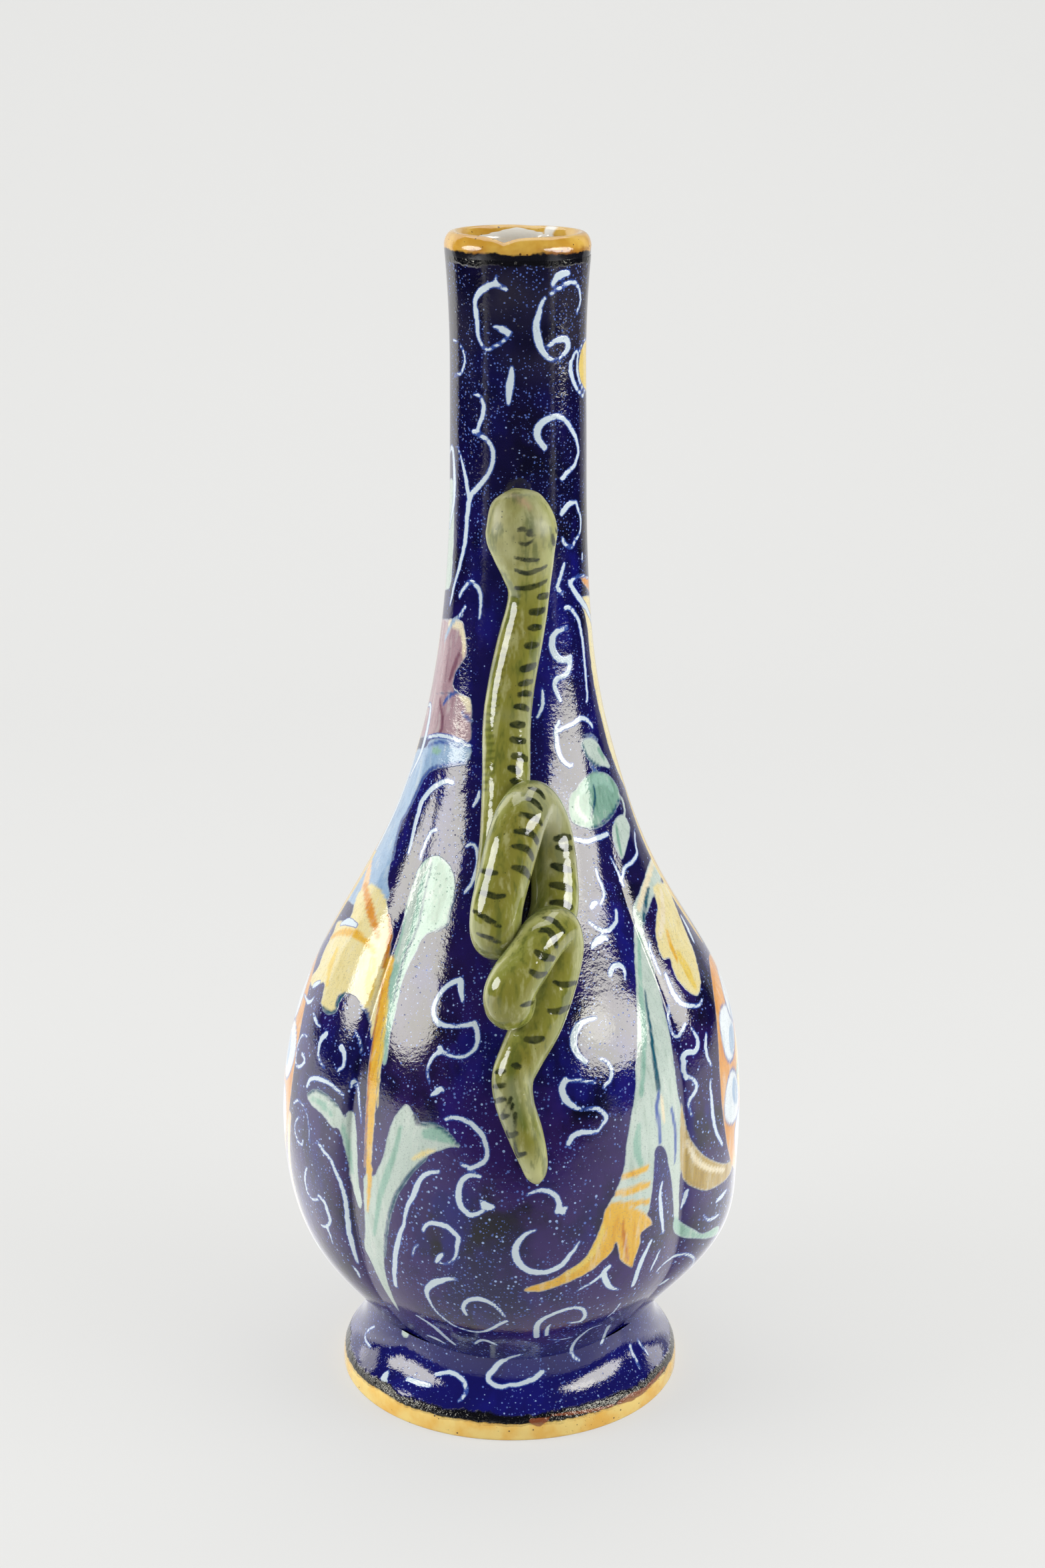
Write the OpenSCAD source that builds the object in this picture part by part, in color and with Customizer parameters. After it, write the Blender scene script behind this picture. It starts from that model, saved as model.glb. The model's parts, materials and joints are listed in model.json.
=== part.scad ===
// Lobed bottle vase with two applied snakes, in millimetres, +Z up.
// The origin is the centre of the foot's underside. The snakes lie on -Y and +Y.

/* [Body] */
// Height of the vase, to the crest of the lip
vase_h = 370; // [340:1:410]
// Outer radius at the crown of a lobe, where the belly is widest
belly_r = 74; // [66:0.5:84]
// Height of that widest place
belly_z = 90; // [82:1:104]
// Height of the flat seat between the foot and the belly
seat_z = 25; // [21:0.5:30]
// Outer radius of the belly on that seat
seat_r = 48; // [44:0.5:52]
// How far the belly swells over the first rise above the seat
seat_swell = 7; // [4:0.5:10]
// Height of that first rise
seat_rise = 13; // [9:0.5:17]
// Height below the widest place over which the belly stays full
belly_full = 44; // [34:1:54]
// Height above the widest place over which the shoulder stays full
shoulder_full = 73; // [60:1:86]
// Height over which the shoulder is drawn into the neck
neck_sweep = 140; // [115:1:150]
// Thickness of the clay at the belly
belly_wall = 6.5; // [5:0.5:9]

/* [Lobes] */
// Depth of the groove between two lobes, where the belly is widest
groove_depth = 6.5; // [3:0.5:9]
// Angle from the snake's side of the vase to the groove next to it
groove_angle = 50; // [44:1:54]
// Roundness of the groove's bottom
groove_soft = 0.15; // [0.1:0.05:0.5]
// Height at which the grooves begin to fade
fade_from = 150; // [120:1:180]
// Height at which the section has become round
fade_to = 240; // [205:1:260]

/* [Neck and lip] */
// Outer radius of the neck
neck_r = 20; // [18:0.5:24]
// Length of the straight neck under the lip
neck_len = 63; // [45:1:80]
// Outer radius at the top of the neck
mouth_r = 21.5; // [19:0.5:25]
// Length over which the neck flares to that radius
flare_len = 20; // [10:1:35]
// Thickness of the clay at the neck
neck_wall = 5; // [4:0.5:6.5]
// Height of the rolled lip
lip_h = 7; // [5:0.5:10]
// How far the roll stands out past the neck on either face
lip_bulge = 0.4; // [0.1:0.1:1]
// Shape of the roll, 1 for round and smaller for flatter on top
lip_shape = 0.7; // [0.5:0.05:1]
// Depth of the notch where the two lips meet
notch_depth = 2; // [0.5:0.5:3.5]
// Half width of that notch
notch_w = 3.2; // [2:0.2:5]

/* [Seam] */
// Angle from the snake's side to the seam of the two pressed halves
seam_turn = -12; // [-20:1:20]
// Gap of the slip joint between the halves
seam_gap = 0.2; // [0.1:0.05:0.5]

/* [Foot] */
// Radius of the foot's edge
foot_r = 55.5; // [51:0.5:62]
// Height of the upright edge band
edge_h = 6.8; // [4:0.2:9]
// Share of the rise of the foot over which it stays wide
foot_wide = 0.35; // [0.2:0.05:0.5]
// Share of that rise at which it has been drawn in
foot_drawn = 0.45; // [0.3:0.05:0.6]
// Share of the foot's height at which the hollow below is widest
foot_hollow = 0.6; // [0.4:0.05:0.7]
// Rounding of the foot's lower edge
edge_round = 1; // [0.5:0.1:2]
// How far the foot's top is set in from the belly's seat
seat_inset = 0.4; // [0:0.1:1.5]
// Width of the ring that the vase stands on
stand_w = 8.5; // [6:0.5:12]
// Width of the foot's ledge under the floor slab
ledge_w = 3; // [2:0.5:6]
// Thickness of the floor slab
floor_t = 7; // [5:0.5:10]
// Gap round the floor slab
floor_gap = 0.3; // [0.2:0.1:0.6]

/* [Snakes] */
// Height of a snake from the foot of the neck to the end of its tail
snake_len = 200; // [180:1:215]
// Radius of the rolled coil
snake_r = 7.2; // [6:0.1:8]
// Half width of the head
head_w = 10.5; // [9:0.1:12]
// Half thickness of the head
head_t = 8; // [6.5:0.1:9.5]
// Gap of the slip joint between a snake and the wall
snake_gap = 0.2; // [0.1:0.05:0.4]

/* [Hidden] */

neck_z = vase_h - lip_h - neck_len;
lip_z = vase_h - lip_h;
seat_groove = groove_depth * seat_r / belly_r;
slab_inset = belly_wall + floor_gap;
foot_bore = seat_r - seat_groove - slab_inset - ledge_w;

// Rows of the wall from seat to lip, columns round each half, and steps of the other pieces
lower_rows = 8;
upper_rows = 18;
neck_rows = 5;
half_cols = 30;
lip_cols = 22;
lip_sides = 11;
snake_sides = 10;
ring_steps = 2;
curve_steps = 14;
round_steps = 5;
turn_fn = 128;
solve_steps = 18;

// The snake's route. Across from its side of the vase and down from the foot of the neck,
// in hundredths of the snake's length, then the height of the coil's middle off the wall,
// 1 where it lies on the wall and 3 where it lies on another strand, then the share of
// its radius.
head_route = [
    [-1, 1, 0.75, 0.08], [-0.8, 2, 0.85, 0.6], [-0.5, 3.5, 0.95, 0.82], [0, 6, 1, 0.98],
    [0.2, 8, 1, 1], [0.5, 10, 1, 0.9], [1, 13, 0.9, 0.74]
];
coil_route = [
    [1.3, 16, 0.9, 0.87], [1, 19, 0.9, 0.86], [0, 23.5, 0.97, 0.93], [-1.3, 30, 1, 0.97],
    [-2, 36, 1, 1], [-2.1, 43, 1, 1], [-2.5, 51.5, 1, 1], [-3.3, 58, 1, 1],
    [-3.8, 62, 1.3, 1.02], [-4, 64, 2.05, 1.03], [-4.2, 62, 2.8, 1.06],
    [-3.9, 59, 3.05, 1.06], [-2.8, 55, 3.1, 1.06], [-1.5, 50.5, 3.05, 1.1],
    [-0.2, 47.3, 2.8, 1.08], [1.6, 46.2, 2.1, 1.04], [3.9, 48.5, 1.4, 1], [5.4, 52.2, 1, 1],
    [6, 57, 1, 1.08], [5.8, 62, 1, 1.08], [3.5, 66.2, 1, 1.03], [0.5, 70.2, 1, 1.03],
    [-1.3, 72.5, 1.35, 1.03], [-2.2, 73, 2.1, 1.03], [-2.4, 71, 2.8, 1.05],
    [-1.5, 68.8, 3.05, 1.04], [0.3, 66.5, 3.05, 1], [2.5, 63.8, 2.85, 1],
    [4.5, 63.2, 2.25, 1], [5.4, 65.8, 1.65, 1], [4.9, 69, 1.3, 1.02],
    [3.5, 73, 1.05, 1.06], [1.8, 77, 1, 1.02], [-0.5, 81, 1, 0.92], [-1.8, 84, 1, 0.86],
    [-1.5, 87.5, 1, 0.8], [0, 92, 0.9, 0.74], [1.2, 96, 0.8, 0.6], [1.6, 98.5, 0.72, 0.42],
    [1.8, 99.8, 0.68, 0.1]
];

// Point at share t of the curve that starts at a, ends at d and leans on b and c
function bezier(a, b, c, d, t) =
    pow(1 - t, 3) * a + 3 * pow(1 - t, 2) * t * b + 3 * (1 - t) * t * t * c + t * t * t * d;

// Radius and height along the wall's outline: belly, shoulder and neck
function belly_at(t) = bezier(
    [seat_r, seat_z], [seat_r + seat_swell, seat_z + seat_rise],
    [belly_r, belly_z - belly_full], [belly_r, belly_z], t
);
function shoulder_at(t) = bezier(
    [belly_r, belly_z], [belly_r, belly_z + shoulder_full],
    [neck_r, neck_z - neck_sweep], [neck_r, neck_z], t
);
function flare(z) = pow(max(0, 1 - (lip_z - z) / flare_len), 2);
function neck_at(t) =
    let (z = neck_z + t * neck_len) [neck_r + (mouth_r - neck_r) * flare(z), z];

// Share t at which a curve reaches height z, by halving
function belly_share(z, low = 0, high = 1, n = solve_steps) =
    let (mid = (low + high) / 2)
    n == 0 ? mid
        : belly_at(mid)[1] < z ? belly_share(z, mid, high, n - 1) : belly_share(z, low, mid, n - 1);
function shoulder_share(z, low = 0, high = 1, n = solve_steps) =
    let (mid = (low + high) / 2)
    n == 0 ? mid
        : shoulder_at(mid)[1] < z ? shoulder_share(z, mid, high, n - 1)
        : shoulder_share(z, low, mid, n - 1);

// Outer radius of the wall at the crown of a lobe, at height z
function crown_r(z) =
    z < belly_z ? belly_at(belly_share(z))[0]
        : z < neck_z ? shoulder_at(shoulder_share(z))[0]
        : neck_at((z - neck_z) / neck_len)[0];

// Depth of the groove pattern, 0 on a crown and 1 in a groove, at angle a
function to_quarter(a) =
    let (turn = abs(a - 360 * round(a / 360))) turn > 90 ? 180 - turn : turn;
function lobe_phase(q) =
    q < groove_angle ? 45 * q / groove_angle : 90 - 45 * (90 - q) / (90 - groove_angle);
function soft_abs(v) = sqrt(v * v + groove_soft * groove_soft);
function groove(a) =
    let (c = cos(2 * lobe_phase(to_quarter(a))))
    (soft_abs(1) - soft_abs(c)) / (soft_abs(1) - soft_abs(0));
function fade(z) =
    let (s = max(0, min(1, (fade_to - z) / (fade_to - fade_from)))) s * s * (3 - 2 * s);
function groove_at(a, r, z) = groove_depth * r / belly_r * groove(a) * fade(z);

// Point at angle a from -Y towards +X
function around(a, r, z) = [r * sin(a), -r * cos(a), z];

// Outline rows of the outer wall, and of the inner wall set in along the normal
outer_rows = concat(
    [for (i = [0:lower_rows]) belly_at(i / lower_rows)],
    [for (i = [1:upper_rows]) shoulder_at(i / upper_rows)],
    [for (i = [1:neck_rows]) neck_at(i / neck_rows)]
);
row_count = len(outer_rows);
function wall_at(z) =
    let (s = max(0, min(1, (z - belly_z) / (neck_z - belly_z))))
    belly_wall + (neck_wall - belly_wall) * s;
function inner_row(i) =
    let (p = outer_rows[i], w = wall_at(p[1]))
    i == 0 || i == row_count - 1
        ? [p[0] - w, p[1]]
        : let (d = outer_rows[i + 1] - outer_rows[i - 1], n = [d[1], -d[0]] / norm(d)) p - w * n;
inner_rows = [for (i = [0:row_count - 1]) inner_row(i)];

function outer_point(i, a) =
    let (p = outer_rows[i]) around(a, p[0] - groove_at(a, p[0], p[1]), p[1]);
function inner_point(i, a) =
    let (p = outer_rows[i], q = inner_rows[i]) around(a, q[0] - groove_at(a, p[0], p[1]), q[1]);

// Two triangles for the four corners of a patch
function patch(a, b, c, d) = [[a, b, c], [a, c, d]];
function flatten(lists) = [for (l = lists) each l];

// Closed shell between two grids of the same rows and columns
module shell(outer, inner) {
    rows = len(outer);
    cols = len(outer[0]);
    half = rows * cols;
    points = concat(flatten(outer), flatten(inner));
    function o(i, j) = i * cols + j;
    function n(i, j) = half + i * cols + j;
    top = rows - 1;
    last = cols - 1;
    faces = concat(
        [for (i = [0:top - 1], j = [0:last - 1])
            each patch(o(i, j), o(i + 1, j), o(i + 1, j + 1), o(i, j + 1))],
        [for (i = [0:top - 1], j = [0:last - 1])
            each patch(n(i, j), n(i, j + 1), n(i + 1, j + 1), n(i + 1, j))],
        [for (j = [0:last - 1]) each patch(o(0, j), o(0, j + 1), n(0, j + 1), n(0, j))],
        [for (j = [0:last - 1]) each patch(o(top, j + 1), o(top, j), n(top, j), n(top, j + 1))],
        [for (i = [0:top - 1]) each patch(o(i + 1, 0), o(i, 0), n(i, 0), n(i + 1, 0))],
        [for (i = [0:top - 1])
            each patch(o(i, last), o(i + 1, last), n(i + 1, last), n(i, last))]
    );
    polyhedron(points, faces, convexity = 10);
}

// Moves a half of the vase off the seam by half of the slip joint
module off_seam(start) {
    translate(around(start + 90, seam_gap / 2, 0)) children();
}

// Half of the pressed body, from the seam at angle start
module body_half(start) {
    angles = [for (j = [0:half_cols]) start + 180 * j / half_cols];
    off_seam(start)
        shell(
            [for (i = [0:row_count - 1]) [for (a = angles) outer_point(i, a)]],
            [for (i = [0:row_count - 1]) [for (a = angles) inner_point(i, a)]]
        );
}

// Height of the lip at an angle from the seam, lower in the notch
function lip_height(turn) =
    let (s = min(turn, 180 - turn) * PI / 180 * mouth_r)
    lip_h - notch_depth * exp(-pow(s / notch_w, 2));

// Rounded section of the lip, flat below, from the bore round to the outer face
function lip_section(a, h) =
    let (mid = mouth_r - neck_wall / 2, w = neck_wall / 2)
    concat(
        [around(a, mid - w, lip_z), around(a, mid + w, lip_z)],
        [for (k = [1:lip_sides])
            let (t = 180 * (k - 0.5) / lip_sides)
            around(a, mid + (w + lip_bulge) * cos(t), lip_z + h * pow(sin(t), lip_shape))]
    );

// Half of the rolled lip, with stations closer together towards the notches
module lip_half(start) {
    turns = [for (j = [0:lip_cols]) 90 * (1 - cos(180 * j / lip_cols))];
    sections = [for (turn = turns) lip_section(start + turn, lip_height(turn))];
    sides = len(sections[0]);
    function at(j, k) = j * sides + k % sides;
    faces = concat(
        [for (j = [0:lip_cols - 1], k = [0:sides - 1])
            each patch(at(j, k), at(j, k + 1), at(j + 1, k + 1), at(j + 1, k))],
        [[for (k = [sides - 1:-1:0]) at(0, k)], [for (k = [0:sides - 1]) at(lip_cols, k)]]
    );
    off_seam(start) polyhedron(flatten(sections), faces, convexity = 4);
}

// Outline of the vase's wall as one solid, grown by the slip joint
module wall_solid(grow) {
    cols = 2 * half_cols;
    function wall_ring(i) = [for (j = [0:cols - 1])
        let (a = seam_turn + 360 * j / cols, p = outer_rows[i])
        around(a, p[0] - groove_at(a, p[0], p[1]) + grow, p[1])];
    function at(i, j) = i * cols + j % cols;
    faces = concat(
        [for (i = [0:row_count - 2], j = [0:cols - 1])
            each patch(at(i, j), at(i + 1, j), at(i + 1, j + 1), at(i, j + 1))],
        [[for (j = [0:cols - 1]) at(0, j)], [for (j = [cols - 1:-1:0]) at(row_count - 1, j)]]
    );
    polyhedron(flatten([for (i = [0:row_count - 1]) wall_ring(i)]), faces, convexity = 4);
}

// The route as middle point, half width and half thickness of the coil
function on_wall(across, down, lift) =
    let (x = across * snake_len / 100, z = neck_z - down * snake_len / 100, r = crown_r(z))
    [x, -sqrt(r * r - x * x) - lift, z];
stations = concat(
    [for (p = head_route) concat(on_wall(p[0], p[1], p[2] * head_t), [p[3] * head_w, p[3] * head_t])],
    [for (p = coil_route)
        concat(on_wall(p[0], p[1], p[2] * snake_r), [p[3] * snake_r, p[3] * snake_r])]
);
station_count = len(stations);

// Smooth curve through the stations
function station(i) = stations[max(0, min(station_count - 1, i))];
function between(i, t) =
    let (a = station(i - 1), b = station(i), c = station(i + 1), d = station(i + 2))
    0.5 * (2 * b + (c - a) * t + (2 * a - 5 * b + 4 * c - d) * t * t
        + (3 * b - a - 3 * c + d) * t * t * t);
path = concat(
    [for (i = [0:station_count - 2], k = [0:ring_steps - 1]) between(i, k / ring_steps)],
    [station(station_count - 1)]
);
path_end = len(path) - 1;
function middle(i) = [path[i][0], path[i][1], path[i][2]];

// Ring of the coil at path point i, wide across the wall and thick away from it
function ring(i) =
    let (
        run = middle(min(path_end, i + 1)) - middle(max(0, i - 1)),
        t = run / norm(run),
        across = [1, 0, 0] - t[0] * t,
        b = across / norm(across),
        out = cross(t, b)
    )
    [for (k = [0:snake_sides - 1])
        let (q = 360 * k / snake_sides)
        middle(i) + path[i][3] * cos(q) * b + path[i][4] * sin(q) * out];
rings = [for (i = [0:path_end]) ring(i)];

// Rolled coil with its head and tail, its loops luted where they touch
module snake() {
    first = [for (k = [0:snake_sides - 1]) k];
    second = [for (k = [0:snake_sides - 1]) 2 * snake_sides - 1 - k];
    color("olivedrab")
        difference() {
            union() {
                for (i = [0:path_end - 1])
                    hull() polyhedron(concat(rings[i], rings[i + 1]), [first, second]);
            }
            wall_solid(snake_gap);
        }
}

// Thrown foot, hollow below, with an upright edge band and a hollow flare
module foot_ring() {
    top_r = seat_r - seat_inset;
    edge = [for (i = [0:round_steps])
        let (q = 90 * i / round_steps)
        [foot_r - edge_round + edge_round * sin(q), edge_round - edge_round * cos(q)]];
    rise = seat_z - edge_h;
    flare_out = [for (i = [0:curve_steps])
        bezier(
            [foot_r, edge_h], [foot_r, edge_h + rise * foot_wide],
            [top_r, edge_h + rise * foot_drawn], [top_r, seat_z], i / curve_steps
        )];
    hollow = [for (i = [0:curve_steps])
        bezier(
            [foot_bore, seat_z], [foot_bore, seat_z * foot_hollow],
            [foot_r - stand_w, seat_z * foot_hollow], [foot_r - stand_w, 0], i / curve_steps
        )];
    color("midnightblue") rotate_extrude($fn = turn_fn) polygon(concat(edge, flare_out, hollow));
}

// Slab that closes the belly, lobed to the inner wall
module floor_slab() {
    cols = 2 * half_cols;
    color("ivory")
        translate([0, 0, seat_z])
            linear_extrude(floor_t)
                polygon([for (j = [0:cols - 1])
                    let (
                        a = seam_turn + 360 * j / cols,
                        r = seat_r - groove_at(a, seat_r, seat_z) - slab_inset
                    )
                    [r * sin(a), -r * cos(a)]]);
}

module body_half_left() { color("navy") body_half(seam_turn + 180); }
module body_half_right() { color("navy") body_half(seam_turn); }
module lip_left() { color("goldenrod") lip_half(seam_turn + 180); }
module lip_right() { color("goldenrod") lip_half(seam_turn); }
module snake_front() { snake(); }
module snake_back() { rotate([0, 0, 180]) snake(); }

foot_ring();
floor_slab();
body_half_left();
body_half_right();
lip_left();
lip_right();
snake_front();
snake_back();
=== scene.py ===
"""Looks of the lobed tin-glazed bottle vase with its two applied snakes.

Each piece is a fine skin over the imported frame, in nearly the same sizes, with its painting worked out
at its vertices: how far each one lies from the painted scrolls and leaves, and the colour of the wash.
"""

import json
import logging
import math
from dataclasses import dataclass, field
from enum import Enum
from typing import Callable, Sequence

import bpy
import numpy as np
from mathutils import Matrix, Vector
from mathutils.bvhtree import BVHTree

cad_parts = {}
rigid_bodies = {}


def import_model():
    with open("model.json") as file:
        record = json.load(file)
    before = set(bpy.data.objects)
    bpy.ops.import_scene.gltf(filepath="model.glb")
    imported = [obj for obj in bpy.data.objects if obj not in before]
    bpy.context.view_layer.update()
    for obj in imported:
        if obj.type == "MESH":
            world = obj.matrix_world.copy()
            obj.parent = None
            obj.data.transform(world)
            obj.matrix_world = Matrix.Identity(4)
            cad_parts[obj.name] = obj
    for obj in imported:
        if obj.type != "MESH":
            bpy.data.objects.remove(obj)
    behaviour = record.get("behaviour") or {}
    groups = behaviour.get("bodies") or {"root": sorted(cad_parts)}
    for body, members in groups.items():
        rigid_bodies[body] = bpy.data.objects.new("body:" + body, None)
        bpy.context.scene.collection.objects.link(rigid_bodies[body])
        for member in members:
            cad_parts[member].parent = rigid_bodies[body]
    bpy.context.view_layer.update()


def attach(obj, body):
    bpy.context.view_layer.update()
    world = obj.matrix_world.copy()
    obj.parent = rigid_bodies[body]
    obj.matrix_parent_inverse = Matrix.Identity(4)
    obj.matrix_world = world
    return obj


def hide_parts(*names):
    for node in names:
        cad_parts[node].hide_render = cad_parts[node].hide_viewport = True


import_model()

LOG = logging.getLogger("vase")
MM = 0.001
WELD = 0.002 * MM
FAR = 9.0
PICTURE_STEP = 4.0
WALL_STEP = 1.2
TOUCH_SPREAD = 1.12
FRAME_PX = (1568, 2352)
FOOT_TOP_PX = 1940

Array = np.ndarray
Pair = tuple[Array, Array]
Piece = bpy.types.Object
Socket = bpy.types.NodeSocket
Material = bpy.types.Material
Colour = tuple[float, float, float, float]
Point = tuple[float, float]
Line = tuple[Point, ...]
Triple = tuple[float, float, float]
Stroke = tuple[tuple[float, ...], ...]


class Paint(Enum):
    """Glaze colours of the painting, as red, green and blue out of 255."""

    WHITE = (222, 230, 234)
    CREAM = (232, 220, 188)
    PALE_YELLOW = (229, 215, 158)
    YELLOW = (229, 200, 100)
    OCHRE = (226, 178, 66)
    ORANGE = (218, 150, 64)
    DEEP_ORANGE = (196, 122, 34)
    PEACH = (236, 196, 150)
    PALE_GREEN = (190, 205, 195)
    LEAF_GREEN = (148, 186, 170)
    GREEN = (126, 166, 148)
    TEAL = (28, 86, 106)
    SKY = (150, 178, 207)
    BLUE = (62, 92, 164)
    MAUVE = (170, 141, 149)
    DARK_MAUVE = (128, 88, 104)
    NAVY = (20, 20, 62)
    OLIVE = (182, 156, 92)
    SNAKE = (136, 140, 64)
    SNAKE_GREEN = (80, 98, 40)
    SNAKE_PALE = (196, 196, 134)
    SNAKE_OCHRE = (126, 117, 40)
    SNAKE_RIB = (84, 88, 36)
    ROSE = (206, 160, 128)

    @property
    def linear(self) -> Array:
        """The colour in linear light."""
        share = np.array(self.value, float) / 255
        return np.where(share <= 0.04045, share / 12.92, ((share + 0.055) / 1.055) ** 2.4)


# Painted lines as seen from the front, in pixels of the picture. Each starts with its widths at the
# start, the middle and the end.
NECK_SCROLLS: tuple[Stroke, ...] = (
    ((5, 10, 5), (760, 434), (748, 428), (738, 427), (728, 432), (718, 441), (713, 452), (714, 466)),
    ((9, 7, 4), (714, 464), (716, 480), (717, 495), (719, 508), (724, 519)),
    ((4, 4, 4), (724, 519), (732, 524), (742, 520), (752, 514), (762, 506)),
    ((3, 10, 6), (742, 490), (755, 494), (766, 500)),
    ((2, 3, 2), (745, 414), (743, 424)),
    ((6, 12, 8), (829, 426), (835, 416), (846, 410), (853, 409)),
    ((5, 6, 4), (826, 440), (838, 433), (848, 427), (858, 422), (866, 428), (870, 442), (870, 455),
     (864, 469)),
    ((3, 6, 5), (818, 446), (812, 456), (809, 463)),
    ((8, 12, 4), (810, 465), (806, 478), (804, 492), (807, 508), (811, 522), (818, 533), (828, 540),
     (838, 541)),
    ((5, 11, 5), (822, 520), (832, 512), (845, 508), (852, 514), (850, 526), (840, 536)),
    ((3, 4, 4), (681, 510), (690, 516), (697, 530), (698, 545), (692, 560), (682, 563)),
    ((5, 12, 6), (768, 551), (767, 565), (764, 585), (763, 605)),
    ((4, 8, 5), (870, 522), (862, 530), (856, 545), (856, 558), (860, 572), (866, 585), (875, 595)),
    ((4, 7, 5), (712, 590), (722, 596), (726, 608), (725, 622), (720, 635), (717, 645), (711, 647)),
    ((6, 6, 8), (711, 648), (722, 653), (733, 662), (740, 675), (740, 690), (736, 705), (727, 720),
     (716, 733), (707, 742), (704, 752)),
    ((2, 6, 8), (687, 670), (692, 685), (697, 705), (700, 722), (703, 737), (705, 748)),
    ((9, 7, 4), (705, 748), (702, 770), (700, 795), (698, 815), (692, 842), (687, 860), (682, 880),
     (675, 907)),
    ((8, 11, 8), (817, 672), (808, 660), (805, 648), (810, 637), (820, 629), (833, 624)),
    ((8, 6, 7), (835, 624), (845, 628), (855, 640), (863, 656), (867, 670), (866, 684), (861, 698),
     (852, 707), (843, 718)),
    ((8, 9, 5), (842, 770), (848, 762), (855, 755), (863, 752)),
    ((5, 4, 5), (864, 755), (869, 770), (871, 785), (869, 800), (862, 812), (857, 820), (848, 817),
     (843, 808)),
    ((5, 6, 5), (846, 846), (842, 858), (838, 872), (835, 882), (843, 890)),
    ((3, 4, 3), (873, 830), (873, 841)),
)
SHOULDER_SCROLLS: tuple[Stroke, ...] = (
    ((6, 6, 4), (848, 912), (853, 911), (860, 918), (867, 930), (871, 945), (874, 965), (876, 985),
     (878, 1010), (880, 1035), (880, 1052)),
    ((5, 6, 3), (690, 895), (697, 882), (705, 873), (712, 875), (719, 884), (722, 895), (722, 905),
     (721, 918), (719, 928)),
    ((4, 4, 5), (699, 909), (694, 917), (689, 925)),
    ((6, 11, 8), (850, 941), (840, 945), (832, 950), (828, 960), (828, 972), (833, 983), (842, 990),
     (852, 988)),
    ((8, 8, 5), (855, 986), (855, 997), (852, 1008), (843, 1015), (834, 1019), (832, 1030), (836, 1042),
     (841, 1051)),
    ((3, 5, 4), (813, 1034), (814, 1055), (806, 1076)),
    ((5, 8, 6), (838, 1082), (834, 1092), (834, 1105), (836, 1122), (842, 1138), (852, 1148), (857, 1147)),
    ((5, 7, 5), (836, 1097), (846, 1092), (858, 1086), (868, 1079), (875, 1077), (884, 1083), (888, 1090)),
    ((7, 9, 4), (680, 1174), (668, 1172), (650, 1182), (638, 1195), (631, 1208), (627, 1225), (621, 1247),
     (617, 1268), (613, 1280)),
    ((6, 5, 5), (655, 1245), (648, 1247), (640, 1262), (634, 1278), (632, 1287)),
    ((3, 5, 3), (720, 1186), (718, 1196), (711, 1209)),
    ((4, 5, 4), (701, 1269), (708, 1265), (714, 1270), (717, 1285), (715, 1305), (708, 1325), (697, 1339)),
    ((6, 7, 7), (850, 1256), (866, 1259), (880, 1262), (895, 1257), (911, 1251)),
    ((4, 6, 5), (952, 1248), (953, 1265), (955, 1280), (948, 1292), (938, 1300), (933, 1315), (930, 1322)),
    ((2, 4, 4), (915, 1285), (925, 1305), (935, 1328)),
    ((4, 6, 4), (893, 1302), (897, 1315), (903, 1330), (906, 1342), (900, 1356)),
    ((9, 9, 4), (888, 1360), (890, 1355), (897, 1352)),
    ((4, 6, 7), (883, 1381), (890, 1388), (900, 1394), (910, 1396), (918, 1391), (924, 1380), (924, 1366)),
    ((6, 12, 6), (888, 1420), (895, 1412), (905, 1406), (910, 1408)),
    ((8, 7, 3), (915, 1461), (918, 1452), (924, 1447), (931, 1448), (937, 1456), (937, 1468)),
)
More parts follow.
